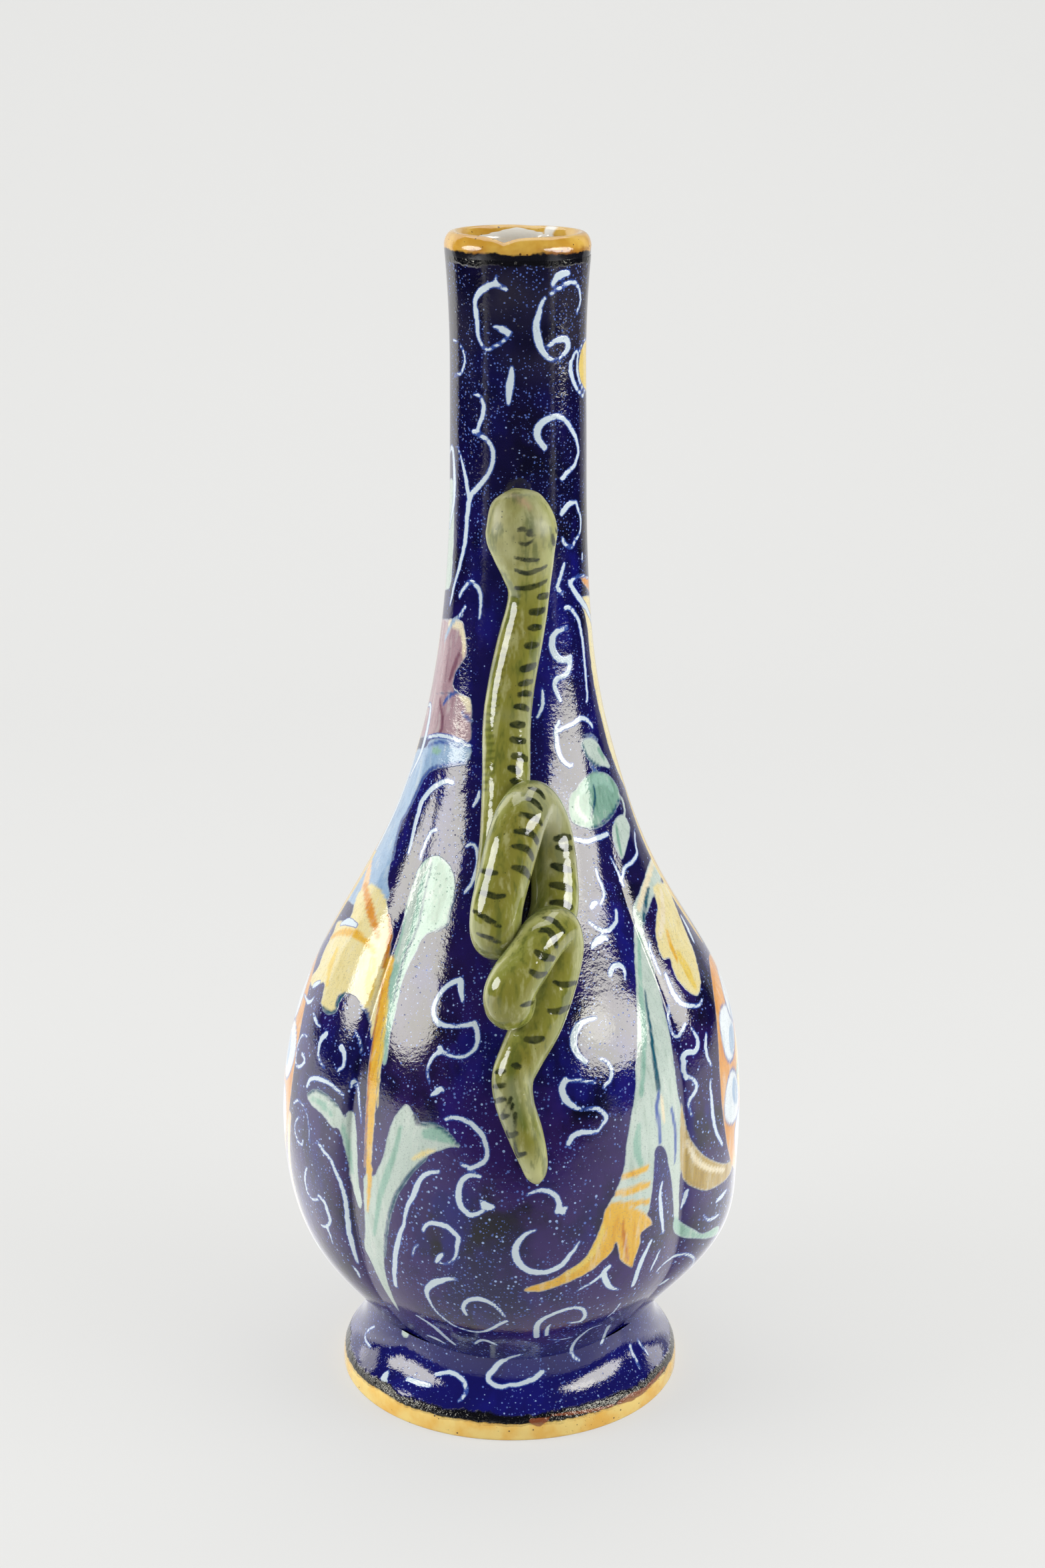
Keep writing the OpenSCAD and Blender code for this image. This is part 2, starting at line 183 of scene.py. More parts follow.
BELLY_SCROLLS: tuple[Stroke, ...] = (
    ((8, 6, 8), (690, 1470), (680, 1473), (670, 1480), (661, 1490), (654, 1502), (651, 1515), (653, 1527),
     (660, 1536)),
    ((10, 8, 4), (691, 1470), (692, 1482), (693, 1492), (695, 1501)),
    ((7, 5, 8), (657, 1532), (665, 1537), (680, 1539), (695, 1538), (706, 1536), (712, 1534)),
    ((8, 5, 5), (712, 1535), (716, 1545), (717, 1560), (713, 1572), (704, 1581), (692, 1585), (678, 1584),
     (668, 1579), (660, 1577)),
    ((9, 9, 7), (661, 1572), (661, 1577), (658, 1579)),
    ((5, 4, 2), (656, 1579), (648, 1588), (643, 1600), (642, 1612), (645, 1624)),
    ((3, 9, 5), (647, 1643), (655, 1638), (662, 1632), (665, 1636)),
    ((5, 8, 6), (669, 1678), (682, 1676), (695, 1679), (707, 1685), (717, 1694), (725, 1706), (730, 1720),
     (731, 1734), (726, 1743)),
    ((7, 7, 4), (726, 1743), (715, 1749), (705, 1752), (697, 1748), (692, 1745)),
    ((5, 9, 6), (659, 1757), (648, 1758), (638, 1762), (630, 1770), (625, 1782), (620, 1795), (613, 1806),
     (609, 1820)),
    ((5, 9, 8), (608, 1823), (606, 1838), (602, 1846), (598, 1862), (594, 1880), (593, 1895), (592, 1912),
     (594, 1928)),
    ((6, 10, 6), (720, 1764), (708, 1762), (698, 1766), (691, 1775), (688, 1790), (690, 1805), (698, 1816),
     (706, 1822), (716, 1820), (726, 1815)),
    ((5, 13, 9), (722, 1801), (730, 1809), (738, 1810)),
    ((5, 8, 7), (635, 1846), (639, 1838), (648, 1834), (660, 1836), (672, 1840), (681, 1848), (688, 1856),
     (686, 1868)),
    ((7, 3, 2), (686, 1868), (685, 1880), (680, 1890), (670, 1895), (660, 1894)),
    ((5, 9, 4), (655, 1892), (660, 1885), (665, 1880)),
    ((2, 3, 2), (619, 1885), (622, 1872), (628, 1866)),
    ((3, 12, 5), (687, 1919), (675, 1918), (660, 1921), (648, 1926), (641, 1934), (641, 1943), (645, 1952)),
    ((4, 5, 6), (645, 1952), (650, 1960), (660, 1972), (675, 1984), (690, 1992), (705, 1996), (720, 1998),
     (735, 1994), (748, 1987), (760, 1981)),
    ((5, 9, 4), (700, 1972), (695, 1962), (700, 1952), (712, 1948), (725, 1949), (738, 1955), (748, 1963),
     (757, 1974)),
    ((4, 4, 4), (892, 1623), (880, 1622), (868, 1620), (858, 1621), (848, 1619)),
    ((8, 11, 4), (848, 1619), (843, 1630), (845, 1642), (852, 1653), (862, 1660), (872, 1664)),
    ((3, 7, 4), (880, 1663), (892, 1662), (903, 1667), (910, 1676), (905, 1685), (897, 1695)),
    ((5, 8, 8), (897, 1696), (885, 1698), (872, 1698), (860, 1703), (853, 1715)),
    ((3, 8, 8), (790, 1792), (802, 1787), (816, 1785), (828, 1789), (836, 1797), (839, 1808), (836, 1816)),
    ((5, 11, 4), (835, 1818), (842, 1815), (850, 1811)),
    ((4, 7, 3), (842, 1815), (846, 1822)),
    ((4, 11, 8), (803, 1845), (793, 1848), (783, 1856), (775, 1867), (773, 1880), (778, 1893), (788, 1903),
     (803, 1908), (818, 1908)),
    ((8, 8, 3), (818, 1908), (832, 1903), (845, 1895), (855, 1882), (863, 1872), (870, 1861)),
    ((6, 11, 8), (892, 1526), (878, 1531), (865, 1541), (860, 1555), (861, 1570), (868, 1583), (878, 1592)),
    ((4, 6, 4), (900, 1588), (910, 1592), (917, 1605), (915, 1620), (905, 1630)),
    ((5, 8, 4), (998, 1460), (1003, 1475), (1010, 1490), (1018, 1502), (1030, 1508), (1048, 1508),
     (1052, 1500)),
    ((3, 4, 3), (972, 1412), (980, 1440), (990, 1462)),
    ((5, 4, 3), (1028, 1536), (1023, 1545), (1019, 1553), (1013, 1555), (1007, 1548), (1003, 1535),
     (1000, 1508)),
    ((3, 8, 8), (1036, 1542), (1043, 1552), (1046, 1565), (1043, 1577), (1035, 1578)),
    ((8, 8, 5), (1035, 1578), (1027, 1580), (1024, 1590), (1025, 1605), (1028, 1618)),
    ((4, 7, 4), (1059, 1550), (1058, 1570), (1061, 1585), (1067, 1598)),
    ((5, 6, 3), (1028, 1614), (1038, 1618), (1045, 1630), (1040, 1642), (1033, 1652), (1034, 1664),
     (1037, 1673)),
    ((4, 8, 6), (1065, 1620), (1067, 1650), (1070, 1680), (1075, 1700), (1084, 1717)),
    ((4, 9, 5), (993, 1773), (990, 1790), (991, 1810), (993, 1830), (995, 1848)),
    ((7, 7, 3), (1030, 1786), (1027, 1795), (1023, 1805), (1021, 1813)),
    ((4, 9, 5), (1090, 1785), (1080, 1797), (1074, 1802)),
    ((3, 6, 3), (1055, 1822), (1063, 1830), (1078, 1822)),
    ((5, 10, 9), (977, 1860), (965, 1885), (957, 1905), (950, 1927)),
    ((3, 6, 3), (990, 1875), (982, 1892), (975, 1907)),
    ((4, 5, 3), (985, 1907), (1000, 1892), (1017, 1882), (1032, 1882), (1041, 1888), (1037, 1900),
     (1020, 1922)),
    ((4, 8, 4), (990, 1927), (1003, 1918)),
    ((2, 4, 6), (865, 1936), (880, 1928), (895, 1918), (905, 1910)),
    ((8, 10, 3), (914, 1900), (906, 1908), (910, 1924), (918, 1932), (928, 1934)),
    ((3, 7, 3), (471, 1520), (474, 1530), (481, 1540)),
    ((3, 4, 6), (461, 1555), (455, 1552), (449, 1562), (446, 1575), (444, 1590), (446, 1600), (453, 1598),
     (458, 1590), (454, 1581)),
    ((9, 5, 3), (490, 1551), (483, 1558), (479, 1570), (478, 1582), (481, 1592), (487, 1601)),
    ((9, 5, 4), (513, 1571), (517, 1580), (518, 1590), (515, 1600), (508, 1605)),
    ((3, 4, 2), (533, 1545), (540, 1558), (544, 1575), (544, 1582)),
    ((5, 7, 4), (461, 1630), (465, 1620), (473, 1617), (485, 1620), (497, 1626), (507, 1634), (515, 1642)),
    ((4, 5, 3), (527, 1630), (530, 1622), (535, 1621), (538, 1630), (539, 1650), (541, 1668), (542, 1682)),
    ((3, 3, 2), (441, 1655), (448, 1650), (455, 1658), (461, 1672), (464, 1690), (465, 1715)),
    ((3, 4, 3), (449, 1676), (444, 1683), (443, 1698), (448, 1712), (454, 1718), (455, 1710)),
    ((5, 7, 8), (478, 1714), (487, 1728), (497, 1740), (504, 1757), (512, 1775), (518, 1795), (521, 1815),
     (523, 1835)),
    ((8, 9, 4), (523, 1835), (526, 1855), (531, 1872), (538, 1894)),
    ((4, 5, 4), (461, 1752), (458, 1765), (461, 1785), (468, 1798), (477, 1799)),
    ((5, 7, 4), (479, 1793), (487, 1803), (493, 1820), (496, 1832), (490, 1840), (483, 1838)),
    ((5, 4, 2), (490, 1840), (496, 1852), (500, 1865)),
    ((3, 6, 3), (530, 1899), (537, 1908), (541, 1916)),
    ((3, 7, 3), (457, 1492), (464, 1504), (472, 1495)),
)
FOOT_SCROLLS_AND_HIGHLIGHTS: tuple[Stroke, ...] = (
    ((3, 4, 3), (562, 1990), (553, 1995), (548, 2003), (550, 2012), (556, 2020)),
    ((4, 12, 6), (584, 2057), (577, 2066), (580, 2074)),
    ((5, 7, 4), (655, 2061), (675, 2058), (688, 2063), (697, 2073), (700, 2085), (695, 2095), (690, 2100)),
    ((6, 8, 6), (612, 2068), (625, 2072), (645, 2078)),
    ((4, 8, 6), (780, 2032), (765, 2036), (750, 2043), (740, 2055), (733, 2063), (735, 2072), (745, 2078),
     (757, 2079)),
    ((5, 7, 8), (760, 2078), (780, 2075), (800, 2068), (813, 2058)),
    # these two white strokes in the cove are partly a painted highlight of the left light
    ((4, 11, 6), (625, 1973), (640, 1982), (655, 1993), (668, 2005), (682, 2016)),
    ((5, 9, 4), (642, 2003), (655, 2008), (667, 2015)),
    ((3, 9, 4), (712, 2016), (722, 2010), (733, 2012), (745, 2017)),
    ((9, 8, 6), (805, 2005), (805, 1990), (812, 1980), (825, 1973), (845, 1965), (862, 1961)),
    ((6, 7, 4), (862, 1961), (873, 1963), (878, 1972), (870, 1982), (852, 1984)),
    ((6, 6, 3), (820, 2003), (821, 1992), (826, 1987)),
    ((3, 6, 5), (902, 1987), (885, 1993), (872, 2003), (862, 2013), (857, 2025), (860, 2034), (868, 2040)),
    ((8, 7, 4), (913, 1989), (908, 2000), (902, 2015)),
    ((2, 4, 3), (822, 2009), (840, 2009), (857, 2006)),
    ((5, 6, 3), (945, 2017), (948, 2030), (955, 2043), (958, 2052)),
    ((3, 5, 3), (955, 2008), (963, 2020), (972, 2032)),
    ((3, 5, 3), (930, 1955), (923, 1965), (912, 1975)),
)
FOOT_STAINS: tuple[Stroke, ...] = (
    ((6, 13, 6), (795, 2130), (808, 2133), (820, 2128)),
    ((3, 4, 3), (829, 2122), (875, 2117), (920, 2107)),
    ((4, 11, 7), (925, 2105), (950, 2094), (968, 2084)),
    ((5, 5, 3), (970, 2081), (985, 2066), (997, 2050)),
)
SNAKE_MARKS: tuple[Stroke, ...] = (
    ((4, 6, 3), (778, 795), (784, 793), (789, 795)),
    ((3, 5, 3), (780, 814), (789, 817), (797, 812)),
    ((4, 6, 4), (772, 836), (790, 840), (808, 840)),
    ((5, 8, 4), (774, 855), (790, 860), (808, 855), (820, 849)),
    ((5, 7, 4), (774, 882), (790, 882), (806, 878), (820, 871)),
    ((8, 10, 8), (810, 895), (822, 893)),
    ((5, 7, 4), (829, 803), (832, 815), (837, 828)),
    ((3, 4, 3), (833, 793), (838, 803)),
    ((9, 11, 8), (798, 918), (807, 918), (816, 915)),
    ((7, 10, 6), (795, 942), (803, 941), (811, 941)),
    ((7, 10, 6), (790, 969), (799, 968), (808, 967)),
    ((9, 11, 8), (784, 1004), (792, 1002), (803, 998)),
    ((7, 10, 6), (781, 1026), (790, 1024), (799, 1022)),
    ((7, 10, 6), (779, 1042), (787, 1040), (797, 1041)),
    ((7, 10, 6), (774, 1060), (782, 1060), (793, 1064)),
    ((8, 11, 8), (769, 1087), (777, 1087), (786, 1087)),
    ((8, 10, 7), (769, 1109), (777, 1111), (787, 1112)),
    ((9, 11, 8), (771, 1134), (780, 1135), (790, 1139)),
    ((8, 11, 8), (766, 1152), (773, 1154), (778, 1157)),
    ((6, 9, 6), (768, 1171), (776, 1173)),
    ((6, 10, 6), (795, 1182), (808, 1186), (816, 1196)),
    ((6, 10, 6), (791, 1198), (803, 1203), (813, 1214)),
    ((6, 10, 6), (780, 1221), (795, 1225), (808, 1230), (813, 1237)),
    ((6, 10, 7), (773, 1247), (786, 1248), (799, 1252), (807, 1264)),
    ((6, 10, 7), (770, 1269), (783, 1271), (793, 1276), (800, 1289)),
    ((6, 11, 6), (770, 1301), (787, 1306), (796, 1318)),
    ((5, 9, 5), (722, 1306), (745, 1310)),
    ((5, 9, 5), (720, 1338), (745, 1345), (757, 1343)),
    ((5, 9, 5), (710, 1366), (730, 1378), (750, 1390)),
    ((5, 9, 5), (716, 1400), (735, 1408), (752, 1415)),
    ((8, 12, 8), (834, 1258), (846, 1256), (856, 1256)),
    ((7, 11, 7), (836, 1271), (857, 1272)),
    ((7, 12, 8), (829, 1298), (843, 1302), (856, 1305)),
    ((7, 12, 8), (827, 1327), (842, 1329), (857, 1334)),
    ((7, 12, 8), (828, 1354), (842, 1355), (857, 1361)),
    ((7, 10, 7), (817, 1376), (832, 1382), (846, 1397)),
    ((7, 11, 7), (811, 1396), (822, 1395), (831, 1406), (835, 1420)),
    ((8, 12, 8), (805, 1428), (816, 1435), (831, 1438)),
    ((7, 10, 6), (797, 1457), (808, 1463), (820, 1460)),
    ((5, 9, 5), (783, 1508), (800, 1504)),
    ((5, 9, 5), (832, 1473), (845, 1477), (865, 1474)),
    ((6, 10, 6), (824, 1516), (838, 1517), (855, 1510)),
    ((8, 11, 8), (790, 1559), (800, 1560), (814, 1558)),
    ((6, 10, 6), (770, 1598), (780, 1600)),
    ((5, 8, 5), (743, 1608), (757, 1607)),
    ((5, 8, 5), (740, 1630), (757, 1628)),
    ((5, 8, 5), (742, 1652), (758, 1648)),
    ((5, 8, 5), (748, 1678), (763, 1673)),
    ((5, 8, 5), (757, 1706), (776, 1700)),
    ((5, 8, 5), (767, 1736), (788, 1730)),
)


@dataclass(frozen=True)
class Touch:
    """One touch of coloured glaze, in two places a painted highlight: a brush line with widths, or a filled
    outline without them.
    """

    paint: Paint
    line: Line
    widths: Triple | None = None


FRONT_TOUCHES_AND_HIGHLIGHT: tuple[Touch, ...] = (
    # left shoulder: mauve leaves over a sky-blue band
    Touch(Paint.MAUVE, (
        (660, 928), (688, 930), (696, 935), (699, 955), (701, 975), (697, 990), (688, 1003), (682, 1015),
        (681, 1030), (686, 1038), (660, 1040), (630, 1040), (630, 930))),
    Touch(Paint.CREAM, ((676, 936), (688, 936), (694, 948), (697, 962), (696, 982)), (14, 9, 5)),
    Touch(Paint.DARK_MAUVE, ((690, 978), (682, 1000), (676, 1018)), (4, 8, 6)),
    Touch(Paint.SKY, ((694, 922), (684, 928), (676, 940), (668, 958)), (5, 6, 5)),
    Touch(Paint.MAUVE, (
        (690, 1040), (702, 1050), (709, 1062), (708, 1080), (706, 1112), (680, 1107), (655, 1104),
        (640, 1106), (620, 1100), (620, 1045), (665, 1040))),
    Touch(Paint.CREAM, ((692, 1044), (702, 1054), (704, 1064)), (6, 13, 8)),
    Touch(Paint.DARK_MAUVE, ((660, 1050), (664, 1072), (664, 1092), (656, 1103)), (5, 6, 5)),
    Touch(Paint.DARK_MAUVE, ((690, 1072), (688, 1090), (690, 1104)), (4, 8, 5)),
    Touch(Paint.BLUE, ((694, 1069), (700, 1076), (709, 1081)), (3, 5, 4)),
    Touch(Paint.BLUE, ((688, 1037), (676, 1043), (666, 1055)), (4, 6, 4)),
    Touch(Paint.SKY, (
        (637, 1122), (645, 1111), (658, 1107), (680, 1108), (706, 1118), (704, 1140), (680, 1147),
        (652, 1150), (638, 1160), (630, 1176), (612, 1215), (600, 1237), (588, 1290), (583, 1320),
        (583, 1350), (540, 1360), (520, 1330), (560, 1200), (600, 1130))),
    Touch(Paint.WHITE, ((643, 1106), (658, 1103), (680, 1107), (706, 1119)), (5, 6, 5)),
    Touch(Paint.BLUE, ((644, 1118), (658, 1113), (676, 1114), (690, 1120)), (4, 5, 3)),
    Touch(Paint.LEAF_GREEN, ((652, 1124), (660, 1127)), (8, 10, 6)),
    Touch(Paint.WHITE, ((622, 1135), (604, 1170), (584, 1214), (560, 1262)), (14, 20, 14)),
    Touch(Paint.BLUE, (
        (700, 1144), (678, 1147), (652, 1152), (638, 1164), (628, 1184), (612, 1217), (600, 1240),
        (590, 1290)), (5, 6, 4)),
    Touch(Paint.PEACH, ((556, 1292), (548, 1330), (540, 1370)), (12, 22, 12)),
    Touch(Paint.SKY, ((566, 1300), (562, 1326), (558, 1348)), (10, 14, 8)),
    # left lobe: yellow leaf under it
    Touch(Paint.PALE_YELLOW, (
        (507, 1382), (500, 1400), (487, 1425), (478, 1450), (467, 1466), (469, 1481), (487, 1474),
        (485, 1490), (482, 1505), (490, 1518), (503, 1516), (506, 1500), (512, 1492), (530, 1492),
        (545, 1510), (553, 1520), (556, 1535), (557, 1560), (568, 1520), (577, 1480), (586, 1440),
        (587, 1400), (580, 1350), (560, 1326), (538, 1340), (528, 1372), (518, 1380))),
    Touch(Paint.YELLOW, ((505, 1425), (496, 1450), (492, 1475)), (8, 14, 8)),
    Touch(Paint.YELLOW, ((560, 1440), (556, 1475), (553, 1505)), (10, 16, 8)),
    Touch(Paint.OCHRE, (
        (497, 1406), (510, 1399), (525, 1398), (540, 1405), (552, 1415), (562, 1428)), (7, 12, 8)),
    Touch(Paint.ORANGE, ((548, 1328), (555, 1360), (562, 1385), (568, 1404)), (10, 15, 8)),
    Touch(Paint.DEEP_ORANGE, ((584, 1372), (587, 1400), (582, 1430), (577, 1450)), (5, 8, 5)),
    Touch(Paint.WHITE, ((512, 1386), (522, 1382), (536, 1388)), (6, 11, 6)),
    # painted highlight: white glint at the leaf's edge by the silhouette
    Touch(Paint.WHITE, ((471, 1479), (480, 1473)), (8, 8, 5)),
    Touch(Paint.TEAL, ((506, 1511), (510, 1498), (518, 1491)), (6, 8, 5)),
    Touch(Paint.TEAL, ((485, 1512), (493, 1519), (504, 1517)), (4, 6, 4)),
    Touch(Paint.BLUE, ((540, 1506), (552, 1520), (557, 1538)), (3, 5, 3)),
    # left groove: green leaf and ochre stem
    Touch(Paint.LEAF_GREEN, (
        (655, 1283), (640, 1288), (630, 1300), (622, 1322), (612, 1350), (604, 1390), (592, 1430),
        (586, 1460), (582, 1490), (578, 1530), (574, 1590), (580, 1596), (586, 1555), (594, 1520),
        (600, 1492), (606, 1468), (617, 1442), (627, 1425), (630, 1415), (640, 1402), (655, 1395),
        (672, 1385), (674, 1370), (683, 1340), (681, 1310), (668, 1290))),
    Touch(Paint.PALE_GREEN, ((646, 1290), (630, 1316), (620, 1350), (612, 1392), (598, 1440)), (8, 15, 8)),
    Touch(Paint.GREEN, ((662, 1300), (660, 1340), (652, 1380)), (14, 24, 12)),
    Touch(Paint.TEAL, ((648, 1296), (640, 1332), (627, 1390), (606, 1440), (592, 1500)), (3, 5, 4)),
    Touch(Paint.TEAL, ((683, 1342), (675, 1372), (672, 1386), (654, 1397)), (3, 4, 3)),
    Touch(Paint.OCHRE, (
        (588, 1440), (580, 1470), (576, 1500), (566, 1560), (561, 1610), (558, 1660), (555, 1720),
        (553, 1760), (551, 1790), (553, 1812)), (13, 20, 7)),
    Touch(Paint.YELLOW, ((582, 1500), (576, 1550), (570, 1610), (567, 1660)), (5, 8, 5)),
    Touch(Paint.DEEP_ORANGE, ((576, 1470), (565, 1530), (555, 1600), (550, 1680), (547, 1750)), (3, 5, 4)),
    # left lobe: hooked leaf and the great pale stem
    Touch(Paint.PALE_GREEN, (
        (461, 1645), (468, 1637), (480, 1636), (493, 1645), (506, 1655), (513, 1667), (519, 1676),
        (522, 1668), (528, 1665), (533, 1672), (536, 1700), (537, 1740), (540, 1780), (544, 1805),
        (540, 1813), (532, 1790), (527, 1765), (522, 1738), (515, 1712), (508, 1693), (500, 1692),
        (490, 1680), (480, 1668), (470, 1660))),
    Touch(Paint.LEAF_GREEN, ((470, 1648), (484, 1656), (498, 1672)), (6, 12, 6)),
    Touch(Paint.LEAF_GREEN, ((515, 1690), (524, 1722), (530, 1760)), (6, 9, 5)),
    Touch(Paint.TEAL, ((462, 1642), (470, 1636), (482, 1637), (496, 1648), (508, 1658)), (4, 6, 4)),
    Touch(Paint.PALE_GREEN, (
        (610, 1655), (618, 1663), (622, 1672), (626, 1688), (633, 1682), (645, 1683), (658, 1687),
        (670, 1695), (680, 1707), (688, 1716), (690, 1722), (680, 1720), (665, 1724), (650, 1730),
        (637, 1738), (625, 1748), (613, 1760), (603, 1775), (592, 1792), (585, 1812), (580, 1835),
        (577, 1860), (577, 1880), (578, 1905), (583, 1925), (590, 1945), (600, 1968), (588, 1952),
        (575, 1930), (565, 1910), (556, 1890), (547, 1870), (548, 1840), (546, 1790), (547, 1763),
        (562, 1763), (568, 1750), (575, 1735), (578, 1720), (583, 1700), (590, 1680), (600, 1664))),
    Touch(Paint.LEAF_GREEN, ((640, 1700), (660, 1702), (678, 1713)), (14, 20, 8)),
    Touch(Paint.LEAF_GREEN, ((602, 1690), (592, 1730), (572, 1790), (562, 1850)), (6, 12, 6)),
    Touch(Paint.OCHRE, ((556, 1752), (554, 1786), (552, 1816)), (11, 8, 3)),
    Touch(Paint.TEAL, ((630, 1686), (645, 1685), (660, 1690), (672, 1699), (688, 1716)), (4, 6, 3)),
    Touch(Paint.PALE_YELLOW, ((620, 1738), (634, 1731), (652, 1725)), (5, 8, 5)),
    Touch(Paint.TEAL, (
        (640, 1738), (620, 1756), (604, 1778), (592, 1800), (582, 1840), (578, 1885)), (4, 6, 3)),
    Touch(Paint.NAVY, ((623, 1672), (626, 1680), (631, 1687)), (5, 7, 4)),
    # right shoulder: band by the silhouette and three small leaves
    Touch(Paint.PALE_YELLOW, (
        (870, 898), (879, 930), (884, 976), (890, 1022), (897, 1058), (905, 1090), (914, 1124), (926, 1156),
        (944, 1196), (964, 1232), (1010, 1232), (965, 1120), (930, 1010), (905, 930), (892, 896))),
    Touch(Paint.ORANGE, ((868, 866), (875, 864), (886, 868), (900, 890), (888, 890), (878, 880))),
    Touch(Paint.WHITE, (
        (854, 873), (860, 885), (869, 898), (878, 910), (885, 925), (889, 942)), (7, 10, 5)),
    Touch(Paint.WHITE, ((855, 872), (863, 866), (872, 863), (882, 867)), (4, 4, 3)),
    Touch(Paint.PALE_GREEN, (
        (873, 1112), (880, 1106), (890, 1108), (898, 1117), (905, 1130), (912, 1142), (915, 1152),
        (905, 1150), (893, 1148), (885, 1140), (877, 1130), (871, 1118))),
    Touch(Paint.TEAL, ((873, 1116), (878, 1130), (888, 1143), (900, 1150)), (4, 5, 3)),
    Touch(Paint.GREEN, ((898, 1124), (906, 1140)), (6, 8, 4)),
    Touch(Paint.BLUE, ((873, 1105), (886, 1102), (896, 1109)), (3, 5, 3)),
    Touch(Paint.BLUE, ((886, 1149), (896, 1158)), (5, 7, 4)),
    Touch(Paint.GREEN, (
        (865, 1181), (875, 1168), (885, 1160), (898, 1157), (910, 1160), (920, 1170), (928, 1185),
        (930, 1200), (925, 1212), (915, 1222), (905, 1230), (897, 1239), (888, 1242), (870, 1240),
        (856, 1230), (852, 1210), (856, 1190))),
    Touch(Paint.LEAF_GREEN, ((872, 1186), (890, 1172), (908, 1170), (918, 1184)), (8, 16, 10)),
    Touch(Paint.PALE_GREEN, ((880, 1230), (866, 1214), (866, 1196)), (6, 10, 6)),
    Touch(Paint.TEAL, ((928, 1200), (918, 1221), (900, 1238), (884, 1243)), (4, 6, 4)),
    Touch(Paint.TEAL, ((890, 1178), (892, 1200), (886, 1226)), (3, 5, 3)),
    Touch(Paint.PALE_GREEN, (
        (925, 1225), (935, 1222), (942, 1232), (945, 1245), (942, 1262), (937, 1280), (932, 1290),
        (924, 1275), (919, 1258), (918, 1240))),
    Touch(Paint.GREEN, ((924, 1240), (928, 1262), (932, 1282)), (4, 6, 4)),
    Touch(Paint.PALE_GREEN, ((928, 1190), (936, 1208), (936, 1224)), (4, 7, 5)),
    # right lobe: pale stem, yellow leaf, bars and the ochre leaf below
    Touch(Paint.PALE_GREEN, (
        (985, 1285), (975, 1290), (965, 1320), (955, 1345), (948, 1360), (950, 1385), (951, 1440),
        (953, 1470), (955, 1520), (955, 1570), (953, 1600), (952, 1640), (945, 1680), (940, 1710),
        (937, 1740), (932, 1765), (922, 1790), (912, 1812), (950, 1815), (970, 1822), (978, 1790),
        (981, 1750), (984, 1722), (996, 1722), (1003, 1750), (1009, 1790), (1011, 1830), (1018, 1828),
        (1019, 1785), (1022, 1740), (1024, 1700), (1022, 1665), (1017, 1640), (1013, 1610), (1009, 1580),
        (1003, 1545), (995, 1510), (988, 1480), (980, 1455), (974, 1425), (966, 1400), (965, 1385),
        (972, 1365), (980, 1345), (990, 1330), (991, 1300))),
    Touch(Paint.CREAM, ((980, 1292), (968, 1330), (958, 1362)), (8, 12, 8)),
    Touch(Paint.LEAF_GREEN, ((958, 1400), (960, 1470), (966, 1560), (962, 1640)), (6, 10, 8)),
    Touch(Paint.TEAL, (
        (967, 1485), (970, 1510), (975, 1540), (979, 1570), (983, 1600), (988, 1632)), (3, 7, 10)),
    Touch(Paint.BLUE, ((988, 1640), (985, 1662), (989, 1690), (990, 1714)), (7, 8, 6)),
    Touch(Paint.BLUE, ((1007, 1662), (1013, 1700), (1012, 1742)), (6, 8, 5)),
    Touch(Paint.TEAL, ((973, 1332), (967, 1358), (965, 1386)), (5, 8, 4)),
    Touch(Paint.CREAM, ((992, 1645), (996, 1682)), (4, 7, 4)),
    Touch(Paint.LEAF_GREEN, ((958, 1690), (955, 1722), (962, 1748)), (9, 14, 9)),
    Touch(Paint.OCHRE, ((934, 1764), (950, 1760), (962, 1755), (971, 1750)), (7, 12, 8)),
    Touch(Paint.OCHRE, ((924, 1790), (945, 1787), (960, 1780), (972, 1776)), (7, 12, 8)),
    Touch(Paint.OCHRE, ((916, 1806), (940, 1806), (958, 1804), (972, 1802)), (6, 9, 7)),
    Touch(Paint.OCHRE, (
        (785, 1933), (830, 1918), (850, 1905), (862, 1898), (878, 1885), (893, 1858), (903, 1832),
        (912, 1810), (950, 1812), (970, 1822), (979, 1835), (970, 1842), (962, 1850), (960, 1865),
        (955, 1880), (950, 1895), (948, 1902), (938, 1897), (930, 1890), (928, 1880), (924, 1862),
        (918, 1877), (905, 1890), (885, 1907), (860, 1920), (830, 1932), (803, 1938))),
    Touch(Paint.DEEP_ORANGE, ((934, 1832), (936, 1856), (942, 1890)), (4, 7, 4)),
    Touch(Paint.YELLOW, ((905, 1838), (898, 1862), (880, 1890), (850, 1912)), (6, 10, 5)),
    Touch(Paint.PALE_YELLOW, (
        (980, 1330), (985, 1360), (982, 1390), (985, 1415), (990, 1432), (996, 1440), (1004, 1437),
        (1008, 1452), (1015, 1468), (1024, 1480), (1035, 1490), (1045, 1494), (1050, 1485), (1051, 1470),
        (1047, 1450), (1040, 1425), (1032, 1405), (1020, 1375), (1008, 1345), (1000, 1325))),
    Touch(Paint.YELLOW, ((1018, 1430), (1030, 1455), (1042, 1480)), (10, 16, 8)),
    Touch(Paint.OCHRE, ((1000, 1396), (1006, 1418), (1015, 1440)), (5, 8, 5)),
    Touch(Paint.CREAM, ((992, 1336), (994, 1372), (990, 1404)), (8, 11, 7)),
    Touch(Paint.WHITE, ((1022, 1374), (1033, 1396), (1040, 1412)), (6, 10, 6)),
    Touch(Paint.OLIVE, (
        (1022, 1650), (1027, 1680), (1035, 1705), (1048, 1725), (1065, 1738), (1085, 1745), (1097, 1742),
        (1097, 1755), (1090, 1768), (1075, 1780), (1058, 1786), (1042, 1782), (1028, 1775), (1022, 1760),
        (1020, 1735), (1020, 1700))),
    Touch(Paint.CREAM, ((1030, 1712), (1042, 1738), (1062, 1752), (1086, 1755)), (6, 9, 6)),
    Touch(Paint.LEAF_GREEN, (
        (1012, 1825), (1025, 1835), (1040, 1843), (1052, 1850), (1065, 1845), (1078, 1838), (1075, 1852),
